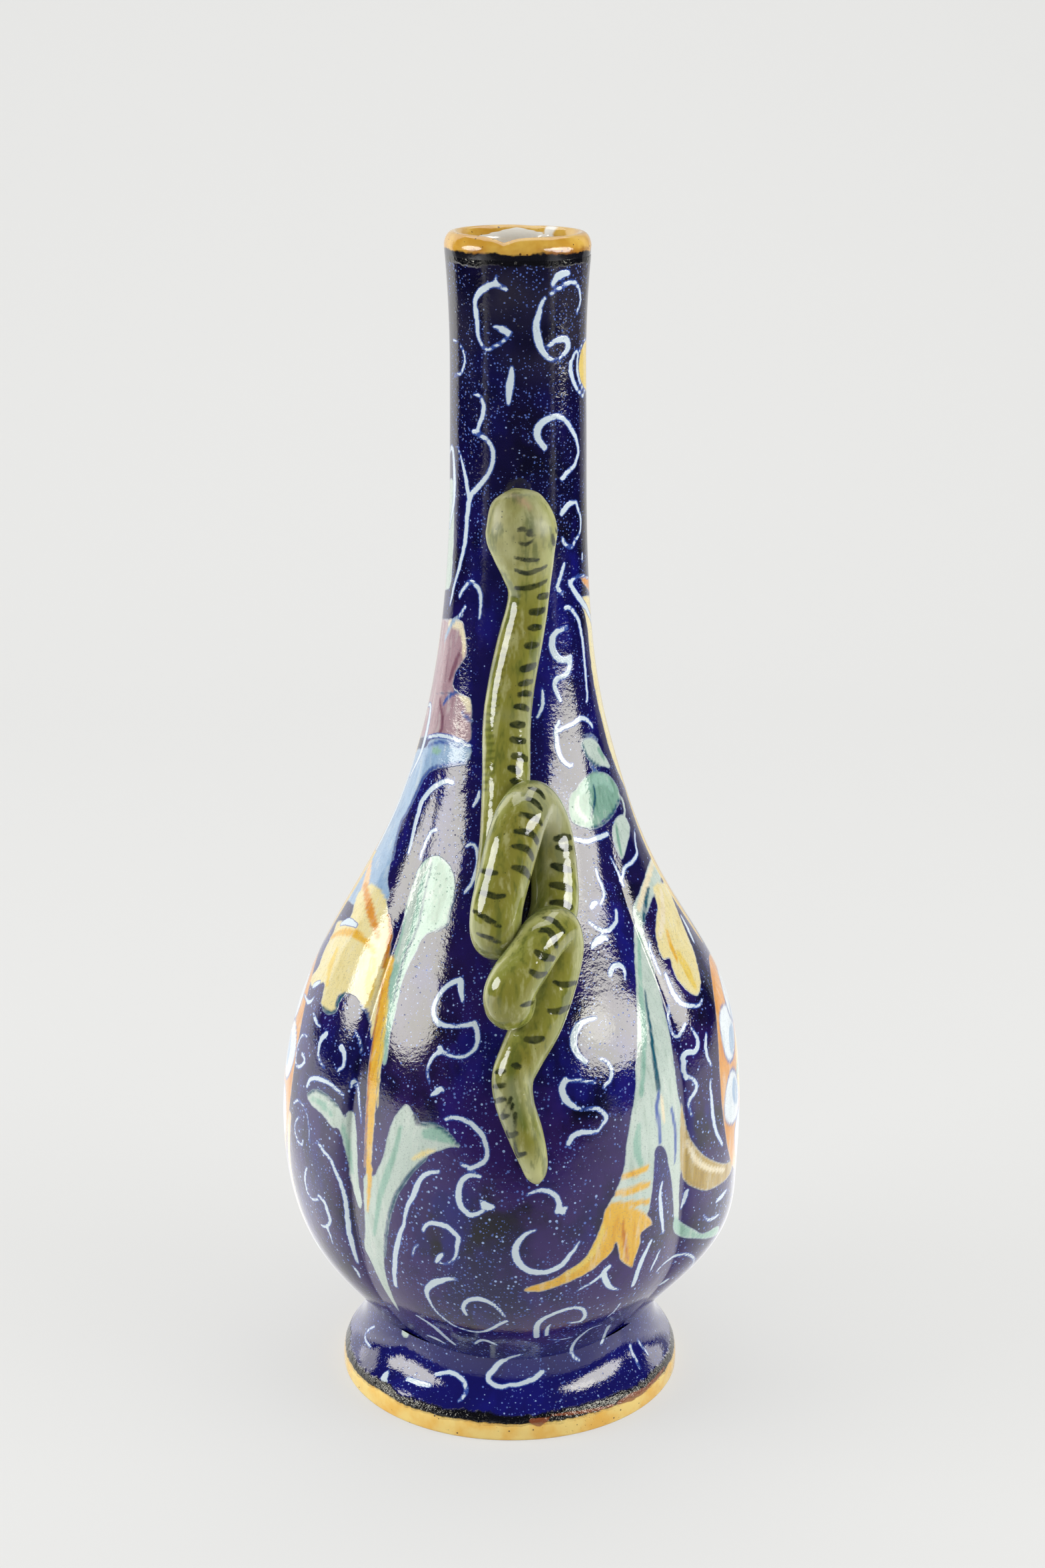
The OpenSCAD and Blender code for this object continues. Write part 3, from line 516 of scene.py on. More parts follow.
        (1060, 1858), (1040, 1858), (1020, 1855), (1010, 1845))),
    # neck sides
    Touch(Paint.PALE_GREEN, (
        (668, 724), (680, 720), (682, 780), (680, 840), (676, 880), (664, 884), (640, 875), (640, 724))),
    Touch(Paint.YELLOW, (
        (884, 503), (874, 518), (868, 540), (868, 562), (874, 580), (884, 592), (900, 590), (900, 505))),
    Touch(Paint.WHITE, ((880, 505), (872, 518), (866, 540), (866, 560), (872, 578), (880, 590)), (3, 5, 4)),
)
FOOT_TOUCHES_AND_HIGHLIGHT: tuple[Touch, ...] = (
    # pale-green drop of the stem, its wide end a painted highlight
    Touch(Paint.PALE_GREEN, ((590, 1948), (599, 1966), (606, 1984), (609, 2000)), (4, 7, 12)),
)


def smooth(share: Array) -> Array:
    """Ease a share from 0 to 1 at both ends."""
    held = np.clip(share, 0, 1)
    return held * held * (3 - 2 * held)


def eased(value: Array, start: float, end: float) -> Array:
    """Return a share eased from 0 at the start to 1 at the end."""
    return smooth((np.asarray(value) - start) / (end - start))


def wrapped(angle: Array) -> Array:
    """Return an angle as one between -180 and 180 degrees."""
    return (angle + 180) % 360 - 180


def bezier(start: Point, first: Point, second: Point, end: Point, count: int = 160) -> Array:
    """Return points along one cubic curve, as rows of radius and height."""
    t = np.linspace(0, 1, count)[:, None]
    a, b, c, d = (np.array(p, float) for p in (start, first, second, end))
    return a * (1 - t) ** 3 + 3 * b * t * (1 - t) ** 2 + 3 * c * t ** 2 * (1 - t) + d * t ** 3


def lengths(line: Array) -> Array:
    """Return the distance along a line at each of its points."""
    return np.concatenate([[0], np.cumsum(np.linalg.norm(np.diff(line, axis=0), axis=1))])


def evenly(line: Array, count: int) -> Array:
    """Return points at even steps along a line, both ends included."""
    along = lengths(line)
    marks = np.linspace(0, along[-1], count)
    return np.column_stack([np.interp(marks, along, column) for column in line.T])


def through(points: Array, step: float, closed: bool = False) -> Array:
    """Run a smooth line through points and read it off at even steps.

    Args:
        points: Points of the line, one row each.
        step: Distance between the points read off.
        closed: Whether the line returns to its start.

    Returns:
        Points along the line, both ends included.
    """
    ring = np.vstack([points[-1:], points, points[:2]] if closed else [points[:1], points, points[-1:]])
    t = np.linspace(0, 1, 13)[:-1, None]
    dense = [0.5 * (2 * b + (c - a) * t + (2 * a - 5 * b + 4 * c - d) * t ** 2
                    + (3 * b - a - 3 * c + d) * t ** 3)
             for a, b, c, d in zip(ring[:-3], ring[1:-2], ring[2:-1], ring[3:])]
    line = np.vstack(dense + [ring[-2:-1]])
    return evenly(line, max(3, int(lengths(line)[-1] / step) + 1))


@dataclass(frozen=True)
class VaseForm:
    """Sizes of the vase in millimetres and the curves drawn from them.

    They are those of the part's source, apart from the softness of the grooves, the swells of the wall,
    the flare below the lip and the flank and edge of the foot, which follow the picture.
    """

    seat: Point = (48, 25)
    seat_pull: Point = (7, 13)
    belly: Point = (74, 90)
    belly_full: float = 44
    shoulder_full: float = 73
    neck: Point = (20, 300)
    neck_sweep: float = 140
    walls: Point = (6.5, 5)
    groove_depth: float = 6.5
    groove_angle: float = 50
    # Softness of the grooves on the belly and at the foot, and the heights between which it changes
    groove_soft: Point = (0.06, 0.40)
    soft_fade: Point = (60, 28)
    groove_shallow: float = 0.3
    side_full: Point = (0.45, 0.52)
    full_fade: Point = (184, 158)
    fade: Point = (240, 150)
    # Swells of the uneven wall: how far out, height of the middle and spread
    swell_focus: float = 4
    right_swells: tuple[Triple, ...] = ((3.0, 55, 15), (2.0, 136, 22), (0.8, 205, 22), (1.4, 285, 55))
    left_swells: tuple[Triple, ...] = ((1.1, 160, 26),)
    mouth_r: float = 21.5
    flare_len: float = 34
    lip_z: float = 363
    lip_h: float = 7
    lip_bulge: float = 0.4
    lip_shape: float = 0.7
    notch: Point = (2, 3.2)
    foot_r: float = 55.5
    edge_h: float = 3.0
    foot_pull: Point = (0.38, 0.30)
    seat_gap: float = 0.4
    foot_fade: float = 6

    def outline(self) -> Array:
        """Return the crown outline of the wall, seat to lip, as rows of radius and height."""
        (sr, sz), (br, bz), (nr, nz) = self.seat, self.belly, self.neck
        low = bezier(self.seat, (sr + self.seat_pull[0], sz + self.seat_pull[1]), (br, bz - self.belly_full),
                     self.belly)
        high = bezier(self.belly, (br, bz + self.shoulder_full), (nr, nz - self.neck_sweep), self.neck)
        z = np.linspace(nz, self.lip_z, 80)[1:]
        flare = np.clip(1 - (self.lip_z - z) / self.flare_len, 0, 1) ** 2
        return np.vstack([low, high[1:], np.column_stack([nr + (self.mouth_r - nr) * flare, z])])

    def foot_outline(self) -> Array:
        """Return the outside of the foot, standing edge to seat, as rows of radius and height."""
        rise = self.seat[1] - self.edge_h
        top = self.seat[0] - self.seat_gap
        edge = [(self.foot_r - 1 + math.sin(t), 1 - math.cos(t)) for t in np.linspace(0, math.pi / 2, 7)]
        flare = bezier((self.foot_r, self.edge_h), (self.foot_r, self.edge_h + rise * self.foot_pull[0]),
                       (top, self.edge_h + rise * self.foot_pull[1]), (top, self.seat[1]), 60)
        return np.vstack([edge, flare])

    def groove(self, angle: Array, z: Array) -> Array:
        """Return how deep the upright grooves lie, 0 on the lobes to 1, the side lobes fuller low down."""
        turn = wrapped(np.asarray(angle))
        quarter = np.where(np.abs(turn) > 90, 180 - np.abs(turn), np.abs(turn))
        split = self.groove_angle
        phase = np.where(quarter < split, 45 * quarter / split, 90 - 45 * (90 - quarter) / (90 - split))
        fall = np.abs(np.cos(np.radians(2 * phase)))
        low = eased(z, *self.full_fade)
        power = 1 - (1 - np.where(turn < 0, *self.side_full)) * low
        blunt = eased(z, *self.soft_fade)
        soft = self.groove_soft[0] + (self.groove_soft[1] - self.groove_soft[0]) * blunt
        swing = np.hypot(np.where(quarter < split, fall, fall ** power), soft)
        full = np.hypot(1, soft)
        return (full - swing) / (full - soft) * (1 - self.groove_shallow * blunt)

    def radius(self, angle: Array, z: Array) -> Array:
        """Return the outside radius of the grooved wall at each angle and height."""
        line = self.outline()
        crown = np.interp(z, line[:, 1], line[:, 0])
        groove = self.groove_depth * crown / self.belly[0] * self.groove(angle, z) * eased(z, *self.fade)
        return crown - groove + self.swell(angle, z)

    def swell(self, angle: Array, z: Array) -> Array:
        """Return how far the uneven wall stands out on its right and left sides."""
        total = np.zeros(())
        for way, swells in ((1, self.right_swells), (-1, self.left_swells)):
            aside = ((1 + way * np.sin(np.radians(angle))) / 2) ** self.swell_focus
            for size, middle, spread in swells:
                total = total + aside * size * np.exp(-(((np.asarray(z) - middle) / spread) ** 2))
        return total

    def outside(self, angle: Array, z: Array) -> Array:
        """Return the outside radius of wall or foot at each angle and height."""
        return np.where(z < self.seat[1], self.foot_radius(angle, z), self.radius(angle, z))

    def surface(self, angle: Array, z: Array) -> Array:
        """Return points on the outside of wall or foot."""
        return around(angle, self.outside(angle, z), z)

    def foot_radius(self, angle: Array, z: Array) -> Array:
        """Return the outside radius of the foot, with the grooves of the wall running out on it."""
        line = self.foot_outline()
        keep = eased(z, self.foot_fade, self.seat[1])
        deep = self.groove_depth * self.seat[0] / self.belly[0] * self.groove(angle, z) * keep
        return np.interp(z, line[:, 1], line[:, 0]) - deep

    def wall(self, z: Array) -> Array:
        """Return the thickness of the wall at each height."""
        return np.interp(z, (self.belly[1], self.neck[1]), self.walls)


def around(angle: Array, r: Array, z: Array) -> Array:
    """Return points at an angle from the front, a radius and a height."""
    turn = np.radians(angle)
    return np.stack(np.broadcast_arrays(r * np.sin(turn), -r * np.cos(turn), z), axis=-1)


def bearing(points: Array) -> Array:
    """Return the angle of each point from the front of the vase."""
    return np.degrees(np.arctan2(points[..., 0], -points[..., 1]))


@dataclass(frozen=True)
class Viewpoint:
    """Where the picture was taken from, in millimetres and degrees, and its lens in pixels."""

    distance: float = 766.7
    height: float = 433.8
    azimuth: float = -3.0
    pitch: float = 16.97
    pan: float = 0.203
    roll: float = 0.46
    focal: float = 3839.7

    def place(self) -> Array:
        """Return where the camera stands."""
        return around(np.array(self.azimuth), np.array(self.distance), np.array(self.height))

    def axes(self) -> Array:
        """Return the camera's right, up and forward directions as rows."""
        head, drop, roll = (math.radians(v) for v in (self.pan - self.azimuth, self.pitch, self.roll))
        level = math.cos(drop)
        forward = np.array([math.sin(head) * level, math.cos(head) * level, -math.sin(drop)])
        right = np.array([math.cos(head), -math.sin(head), 0])
        up = np.cross(right, forward)
        return np.array([right * math.cos(roll) + up * math.sin(roll),
                         up * math.cos(roll) - right * math.sin(roll), forward])

    def rays(self, pixels: Array) -> Array:
        """Return the sight line of each pixel, one millimetre deep."""
        right, up, forward = self.axes()
        across = (pixels[:, :1] - FRAME_PX[0] / 2) / self.focal
        rise = (FRAME_PX[1] / 2 - pixels[:, 1:2]) / self.focal
        return forward + across * right + rise * up

    def camera(self) -> Piece:
        """Set up the camera of the picture."""
        bpy.ops.object.camera_add()
        camera = bpy.context.object
        camera.name = "front_camera"
        right, up, forward = self.axes()
        turn = Matrix((right, up, -forward)).transposed().to_4x4()
        camera.matrix_world = Matrix.Translation(Vector(self.place() * MM)) @ turn
        camera.data.sensor_fit = "AUTO"
        camera.data.sensor_width = 36
        camera.data.lens = 36 * self.focal / FRAME_PX[1]
        camera.data.clip_start = 0.01
        bpy.context.scene.camera = camera
        return camera


Landing = Callable[[Array], Pair]


@dataclass(frozen=True)
class Drawing:
    """Carries lines drawn on the picture over to the surfaces they are painted on."""

    form: VaseForm
    view: Viewpoint
    depths: Triple = (560, 900, 0.5)
    pass_by: float = 40

    def on_vase(self, pixels: Array) -> Pair:
        """Follow each pixel's sight line to the wall or foot.

        Args:
            pixels: Places on the picture, one row each.

        Returns:
            Points on the vase in millimetres and the depth of each; a sight line that passes the
            vase lands as far round its side as it passes it by.
        """
        depth = np.arange(*self.depths)
        track = self.view.place() + depth[None, :, None] * self.view.rays(pixels)[:, None, :]
        gap = np.hypot(track[..., 0], track[..., 1]) - self.form.outside(bearing(track), track[..., 2])
        gap[(track[..., 2] < 0) | (track[..., 2] > self.form.lip_z + 4)] = 99
        first = np.where((gap < 0).any(axis=1), np.argmax(gap < 0, axis=1), np.argmin(gap, axis=1))
        rows = np.arange(len(pixels))
        spots, miss = track[rows, first], np.clip(gap[rows, first], 0, self.pass_by)
        turn, z = bearing(spots), spots[:, 2]
        beyond = np.degrees(miss / np.hypot(spots[:, 0], spots[:, 1]))
        turn = np.clip(turn + np.sign(turn) * beyond, -90, 90)
        return self.form.surface(turn, z), depth[first]

    def on_mesh(self, piece: Piece) -> Landing:
        """Return the way to follow sight lines to a finished mesh."""
        tree = BVHTree.FromObject(piece, bpy.context.evaluated_depsgraph_get())
        place = self.view.place()

        def land(pixels: Array) -> Pair:
            """Follow each pixel's sight line to the mesh, or to the nearest place on it."""
            points, depths = [], []
            for ray in self.view.rays(pixels):
                hit = tree.ray_cast(Vector(place * MM), Vector(ray).normalized())[0]
                if hit is None:
                    near = Vector((place + ray * (self.view.distance - 60)) * MM)
                    hit = tree.find_nearest(near)[0]
                points.append(np.array(hit) / MM)
                depths.append((points[-1] - place) @ self.view.axes()[2])
            return np.array(points), np.array(depths)

        return land

    def line(self, widths: Sequence[float], points: Line, land: Landing) -> Pair:
        """Carry one brush line over to its surface.

        Args:
            widths: Widths in pixels at the start, the middle and the end.
            points: Pixels that the line runs through.
            land: The way down to the surface.

        Returns:
            Points along the line in millimetres and half its width at each.
        """
        pixels = through(np.array(points, float), PICTURE_STEP)
        share = np.linspace(0, 1, len(pixels))
        spots, depth = land(pixels)
        return spots, 0.5 * np.interp(share, (0, 0.5, 1), widths) * depth / self.view.focal

    def on_wall(self, widths: Sequence[float], points: Line) -> Pair:
        """Lay a brush line given by angles, heights and millimetre widths on the wall."""
        chart = through(np.array(points, float), WALL_STEP)
        half = 0.5 * np.interp(np.linspace(0, 1, len(chart)), (0, 0.5, 1), widths)
        return self.form.surface(*chart.T), half

    def both_sides(self, spots: Array) -> Pair:
        """Return points on the vase, and the same half round it and set on the wall again."""
        angle, z = bearing(spots) + 180, spots[:, 2]
        return spots, self.form.surface(angle, z)


def note(piece: Piece, name: str, values: Array) -> None:
    """Write one value for each vertex of a piece."""
    data = piece.data.attributes.new(name, "FLOAT", "POINT").data
    data.foreach_set("value", values.astype(np.float32))


def noted(piece: Piece, name: str) -> Array:
    """Read one value for each vertex of a piece."""
    values = np.empty(len(piece.data.vertices), np.float32)
    piece.data.attributes[name].data.foreach_get("value", values)
    return values


@dataclass
class Artwork:
    """The painting of one piece, worked out at its vertices in millimetres."""

    points: Array
    white: Array = field(init=False)
    leaf: Array = field(init=False)
    dash: Array = field(init=False)
    wash: Array = field(init=False)

    def __post_init__(self) -> None:
        """Start with nothing painted."""
        count = len(self.points)
        self.white, self.leaf, self.dash = (np.full(count, FAR) for _ in range(3))
        self.wash = np.tile(Paint.WHITE.linear, (count, 1))

    def within(self, low: Array, high: Array) -> Array:
        """Return the numbers of the vertices inside a box."""
        return np.nonzero(((self.points > low) & (self.points < high)).all(axis=1))[0]

    def reach(self, line: Array, half: Array) -> Pair:
        """Measure how far the vertices near a line lie outside its edge.

        Args:
            line: Points along the line.
            half: Half its width at each.

        Returns:
            The numbers of the vertices nearby and the distance of each, negative inside.
        """
        margin = 2.5 + half.max()
        near = self.within(line.min(axis=0) - margin, line.max(axis=0) + margin)
        spots = self.points[near]
        best = np.full(len(near), FAR)
        for a, b, wide, wide_next in zip(line[:-1], line[1:], half[:-1], half[1:]):
            run = b - a
            t = np.clip((spots - a) @ run / max(run @ run, 1e-9), 0, 1)
            gap = np.linalg.norm(spots - a - t[:, None] * run, axis=1) - (wide + t * (wide_next - wide))
            np.minimum(best, gap, out=best)
        return near, best

    def scroll(self, line: Array, half: Array) -> None:
        """Paint one white scroll line."""
        near, gap = self.reach(line, half)
        self.white[near] = np.minimum(self.white[near], gap)

    def mark(self, line: Array, half: Array) -> None:
        """Paint one dark mark."""
        near, gap = self.reach(line, half)
        self.dash[near] = np.minimum(self.dash[near], gap)

    def lay(self, paint: Paint, near: Array, gap: Array, soft: float) -> None:
        """Lay one colour over the vertices that a touch covers."""
        cover = smooth(0.5 - gap / (2 * soft))[:, None]
        self.wash[near] = self.wash[near] * (1 - cover) + paint.linear * cover
        self.leaf[near] = np.minimum(self.leaf[near], gap)

    def touch(self, paint: Paint, line: Array, half: Array, soft: float = 0.32) -> None:
        """Paint one coloured brush line."""
        near, gap = self.reach(line, half)
        self.lay(paint, near, gap, soft)

    def brush(self, paint: Paint, line: Array, half: Array, spread: float = 1.0) -> None:
        """Paint one brush line: a scroll where it is white, otherwise a touch that spreads."""
        if paint is Paint.WHITE:
            self.scroll(line, half)
        else:
            self.touch(paint, line, half * spread)

    def fill(self, paint: Paint, edge: Array, soft: float = 0.4) -> None:
        """Paint a coloured field inside a closed outline on the vase.

        Args:
            paint: Colour of the field.
            edge: Points along its outline.
            soft: Softness of the edge.
        """
        loop = np.vstack([edge, edge[:1]])
        middle = bearing(edge.mean(axis=0))
        near = self.within(edge.min(axis=0) - 3, edge.max(axis=0) + 3)
        chart, ring = (np.column_stack([wrapped(bearing(spots) - middle), spots[:, 2]])
                       for spots in (self.points[near], loop))
        inside = np.zeros(len(near), bool)
        for (ax, az), (bx, bz) in zip(ring[:-1], ring[1:]):
            if az != bz:
                crosses = (az > chart[:, 1]) != (bz > chart[:, 1])
                inside ^= crosses & (chart[:, 0] < ax + (bx - ax) * (chart[:, 1] - az) / (bz - az))
        index, gap = self.reach(loop, np.zeros(len(loop)))
        spread = np.full(len(self.points), FAR)
        spread[index] = gap
        gap = np.where(inside, -spread[near], spread[near])
        self.lay(paint, near, gap, soft)

    def store(self, piece: Piece) -> None:
        """Write the painting to a piece as attributes of its vertices."""
        for name, values in (("white", self.white), ("leaf", self.leaf), ("dash", self.dash)):
            note(piece, name, values)
        colour = np.column_stack([self.wash, np.ones(len(self.wash))]).astype(np.float32)
        wash = piece.data.attributes.new("wash", "FLOAT_COLOR", "POINT")
        wash.data.foreach_set("color", colour.ravel())


class Wiring:
    """Short ways to add and join the nodes of one material."""

    def __init__(self, name: str) -> None:
        """Start an empty material."""
        self.material = bpy.data.materials.new(name)
        self.material.use_nodes = True
        self.tree = self.material.node_tree
        self.tree.nodes.clear()
        self.place = self.add("ShaderNodeTexCoord").outputs["Object"]

    def add(self, kind: str, inputs: dict | None = None, **settings: object) -> bpy.types.Node:
        """Add a node.

        Args:
            kind: Node type.
            inputs: Values or sockets for its inputs, by name or number.
            settings: Settings of the node itself.

        Returns:
            The node.
        """
        node = self.tree.nodes.new(kind)
        for key, value in settings.items():
            setattr(node, key, value)
        for key, value in (inputs or {}).items():
            if isinstance(value, Socket):
                self.tree.links.new(value, node.inputs[key])
            else:
                node.inputs[key].default_value = value
        return node

    def noise(self, scale: float, detail: float = 2, rough: float = 0.5,
              place: Socket | None = None) -> Socket:
        """Add cloudy noise, with its features one over the scale in metres."""
        node = self.add("ShaderNodeTexNoise", {"Vector": place or self.place, "Scale": scale,
                                               "Detail": detail, "Roughness": rough})
        return node.outputs["Fac"]

    def stretched(self, scale: Triple, detail: float = 2) -> Socket:
        """Add noise drawn out along one direction."""
        mapped = self.add("ShaderNodeMapping", {"Vector": self.place, "Scale": scale})
        return self.noise(1, detail, 0.6, mapped.outputs["Vector"])

    def maths(self, way: str, first: object, second: object = 0.0) -> Socket:
        """Add one sum."""
        return self.add("ShaderNodeMath", {0: first, 1: second}, operation=way).outputs[0]

    def times(self, first: object, second: object) -> Socket:
        """Multiply two values."""
        return self.maths("MULTIPLY", first, second)

    def span(self, value: object, low: float, high: float,
             start: object = 0.0, end: object = 1.0) -> Socket:
        """Map a value from one span to another, eased and held at the ends."""
        ends = {"Value": value, "From Min": low, "From Max": high, "To Min": start, "To Max": end}
        node = self.add("ShaderNodeMapRange", ends, interpolation_type="SMOOTHSTEP", clamp=True)
        return node.outputs["Result"]

    def mix(self, share: object, first: object, second: object, way: str = "MIX") -> Socket:
        """Mix two colours."""
        node = self.add("ShaderNodeMix", {0: share, 6: first, 7: second}, data_type="RGBA", blend_type=way)
        return node.outputs[2]

    def wobble(self, value: object, *parts: tuple[object, float]) -> Socket:
        """Push a value about by noises, each with its amount."""
        for noise, amount in parts:
            value = self.maths("ADD", value, self.times(self.maths("SUBTRACT", noise, 0.5), amount))
        return value

    def value(self, name: str, output: str = "Fac") -> Socket:
        """Read an attribute of the mesh."""
        return self.add("ShaderNodeAttribute", attribute_name=name).outputs[output]

    def height(self) -> Socket:
        """Return the height above the table in metres."""
        return self.add("ShaderNodeSeparateXYZ", {"Vector": self.place}).outputs["Z"]

    def ragged_height(self, broad: float, fine: float) -> Socket:
        """Return the height pushed about by broad and fine noise, each by its amount in metres."""
        return self.wobble(self.height(), (self.noise(90, 2), broad), (self.noise(500, 2), fine))

    def specks(self, scale: float, size: float, where: object) -> Socket:
        """Scatter small round specks.

        Args:
            scale: One over their spacing in metres.
            size: Greatest radius as a share of the spacing.
            where: Share of the size used at each place.

        Returns:
            A mask, 1 on the specks.
        """
        cells = self.add("ShaderNodeTexVoronoi", {"Vector": self.place, "Scale": scale})
        lot = self.add("ShaderNodeSeparateColor", {"Color": cells.outputs["Color"]}).outputs["Red"]
        reach = self.times(self.times(self.maths("POWER", lot, 0.7), size), where)
        return self.span(self.maths("SUBTRACT", cells.outputs["Distance"], reach), 0.04, -0.04)

    def glaze(self, colour: object, rough: object, bumps: Sequence[tuple[object, float]],
              shine: Colour = (1.0, 1.0, 1.0, 1.0)) -> None:
        """Close the material with a glossy shader.

        Args:
            colour: Base colour.
            rough: Roughness.
            bumps: Height noises, each with its depth in metres.
            shine: Tint of the reflections.
        """
        height = 0.0
        for noise, depth in bumps:
            height = self.maths("ADD", height, self.times(noise, depth))
        bump = self.add("ShaderNodeBump", {"Height": height, "Distance": 1.0, "Strength": 1.0})
        shader = self.add("ShaderNodeBsdfPrincipled", {"Base Color": colour, "Roughness": rough,
                                                       "Normal": bump.outputs["Normal"], "IOR": 1.9,
                                                       "Specular Tint": shine})
        out = self.add("ShaderNodeOutputMaterial", {"Surface": shader.outputs["BSDF"]})
        out.is_active_output = True


def rgba(red: float, green: float, blue: float) -> Colour:
    """Return a linear colour with full cover."""
    return (red, green, blue, 1.0)


@dataclass(frozen=True)
class PaintedGlaze:
    """Cobalt ground with the white scrolls and coloured leaves painted over it, heights in metres."""

    name: str = "painted_glaze"
    deep: Colour = rgba(0.003, 0.003, 0.014)
    cobalt: Colour = rgba(0.006, 0.005, 0.070)
    bright: Colour = rgba(0.008, 0.008, 0.150)
    violet: Colour = rgba(0.034, 0.014, 0.120)
    speck: Colour = rgba(0.34, 0.48, 0.80)
    dim_speck: Colour = rgba(0.11, 0.19, 0.58)
    # Grey of the painted reflection on the upper neck
    smoke: Colour = rgba(0.038, 0.034, 0.044)
    halo: Colour = rgba(0.045, 0.10, 0.40)
    white: Colour = rgba(0.62, 0.72, 0.78)
    black: Colour = rgba(0.004, 0.004, 0.007)
    thick_wash: Colour = rgba(0.74, 0.76, 0.70)
    wash_grain: Colour = rgba(0.12, 0.14, 0.20)
    leaf_rim: Colour = rgba(0.02, 0.05, 0.16)
    lining: Colour = rgba(0.92, 0.90, 0.84)
    lining_shade: Colour = rgba(0.84, 0.81, 0.73)
    edge: Colour = rgba(0.88, 0.65, 0.20)
    edge_shade: Colour = rgba(0.82, 0.46, 0.07)
    pin_hole: Colour = rgba(0.06, 0.03, 0.012)
    stain: Colour = rgba(0.27, 0.075, 0.03)
    clay: Colour = rgba(0.52, 0.42, 0.30)
    clay_shade: Colour = rgba(0.40, 0.31, 0.21)
    shine: Colour = rgba(1.0, 0.975, 0.84)
    neck_line: Point = (0.3612, 0.3660)
    foot_line: Point = (0.0056, 0.0086)
    line_soft: float = 0.0004
    edge_top: Point = (0.0063, 0.0057)

    def ground(self, wires: Wiring, middle: object, height: object) -> Socket:
        """Wire the ground: cobalt clouds and pools, plum below, grey veils above as a painted reflection, and
        specks.

        Args:
            wires: The material's nodes.
            middle: Noise of middle size.
            height: Height above the table.

        Returns:
            The colour of the ground.
        """
        ground = wires.mix(wires.span(wires.noise(26, 4, 0.6), 0.36, 0.52), self.deep, self.cobalt)
        pool = wires.wobble(wires.stretched((70, 70, 28), 3), (middle, 0.25))
        lit = wires.times(wires.span(pool, 0.48, 0.68), wires.span(height, 0.352, 0.322))
        ground = wires.mix(lit, ground, self.bright)
        cloud = wires.wobble(wires.noise(38, 3), (middle, 0.3))
        plum = wires.times(wires.span(cloud, 0.36, 0.62), wires.span(height, 0.20, 0.06, 0.15, 1.0))
        ground = wires.mix(wires.times(plum, wires.span(height, 0.024, 0.036)), ground, self.violet)
        ground = wires.mix(wires.span(height, 0.034, 0.022, 0, 0.6), ground, self.bright)
        ground = wires.mix(wires.span(height, 0.25, 0.33, 0, 0.62), ground, self.deep)
        # Painted reflection: grey veils on the upper neck, just below the black line
        smoke = wires.times(wires.span(height, 0.322, 0.343), wires.span(wires.noise(26, 2), 0.38, 0.56))
        ground = wires.mix(wires.times(smoke, 0.7), ground, self.smoke)
        low = wires.times(wires.span(height, 0.24, 0.09, 0.5, 0.85), wires.span(height, 0.022, 0.03, 0.75, 1))
        crowd = wires.times(wires.span(wires.noise(55, 3), 0.30, 0.52, 0.3, 1.0), low)
        mist = wires.times(wires.span(wires.noise(48, 3), 0.36, 0.55),
                           wires.span(height, 0.14, 0.26, 0.75, 1))
        for scale, size, where, cover, speck in ((1100, 0.36, mist, 0.7, self.dim_speck),
                                                 (640, 0.34, crowd, 0.8, self.dim_speck),
                                                 (500, 0.26, crowd, 0.9, self.speck)):
            ground = wires.mix(wires.times(wires.specks(scale, size, where), cover), ground, speck)
        return ground

    def painted(self, wires: Wiring) -> tuple[Socket, Socket]:
        """Wire the painting.

        Args:
            wires: The material's nodes.

        Returns:
            The colour and the cover of the opaque paint.
        """
        middle, fine, grain = wires.noise(160, 2), wires.noise(900, 2, 0.6), wires.noise(2200, 1)
        colour = self.ground(wires, middle, wires.height())

        streak = wires.stretched((420, 420, 70))
        # the wash holds the coloured touches, on the foot with a painted highlight at the stem's drop
        wash = wires.value("wash", "Color")
        wash = wires.mix(wires.span(streak, 0.52, 0.74, 0, 0.30), wash, self.thick_wash)
        deeper = wires.mix(1.0, wash, wash, "MULTIPLY")
        wash = wires.mix(wires.span(streak, 0.50, 0.26, 0, 0.40), wash, deeper)
        wash = wires.mix(wires.span(grain, 0.56, 0.72, 0, 0.35), wash, self.wash_grain)
        edge = wires.wobble(wires.value("leaf"), (middle, 0.5), (fine, 0.4))
        cover = wires.span(edge, 0.12, -0.14)
        rim = wires.times(wires.span(edge, 0.42, 0.12), wires.span(edge, -0.6, -0.1))
        colour = wires.mix(cover, colour, wash)
        colour = wires.mix(wires.times(rim, 0.45), colour, self.leaf_rim)

        # the white strokes include a few painted highlights, on the left lobe and in the foot cove
        stroke = wires.wobble(wires.value("white"), (middle, 0.35), (fine, 0.45), (grain, 0.35))
        colour = wires.mix(wires.span(stroke, 0.46, 0.08, 0, 0.85), colour, self.halo)
        core = wires.span(stroke, 0.12, -0.16)
        return wires.mix(core, colour, self.white), wires.maths("MAXIMUM", cover, core)

    def band(self, wires: Wiring, ends: Point) -> Socket:
        """Return the cover of the ragged black line between two heights."""
        level, soft, (low, high) = wires.ragged_height(0.0035, 0.0016), self.line_soft, ends
        return wires.times(wires.span(level, low - soft, low + soft),
                           wires.span(level, high + soft, high - soft))

    def finish(self, wires: Wiring, colour: object, cover: object, wrinkled: object) -> Material:
        """Close the glaze with its orange-peel surface, wrinkled where the black enamel is thick."""
        rough = wires.span(wires.noise(60, 3), 0.3, 0.7, 0.04, 0.09)
        pits = wires.specks(640, 0.26, wires.span(wires.noise(50, 2), 0.40, 0.6))
        wrinkles = wires.times(wrinkled, wires.noise(420, 3, 0.65))
        bumps = ((wires.noise(480, 2), 0.00005), (wires.noise(1100, 2, 0.6), 0.00004),
                 (wires.noise(45, 2), 0.0004), (cover, 0.00003), (pits, -0.0001), (wrinkles, 0.0007))
        wires.glaze(colour, rough, bumps, self.shine)
        return wires.material

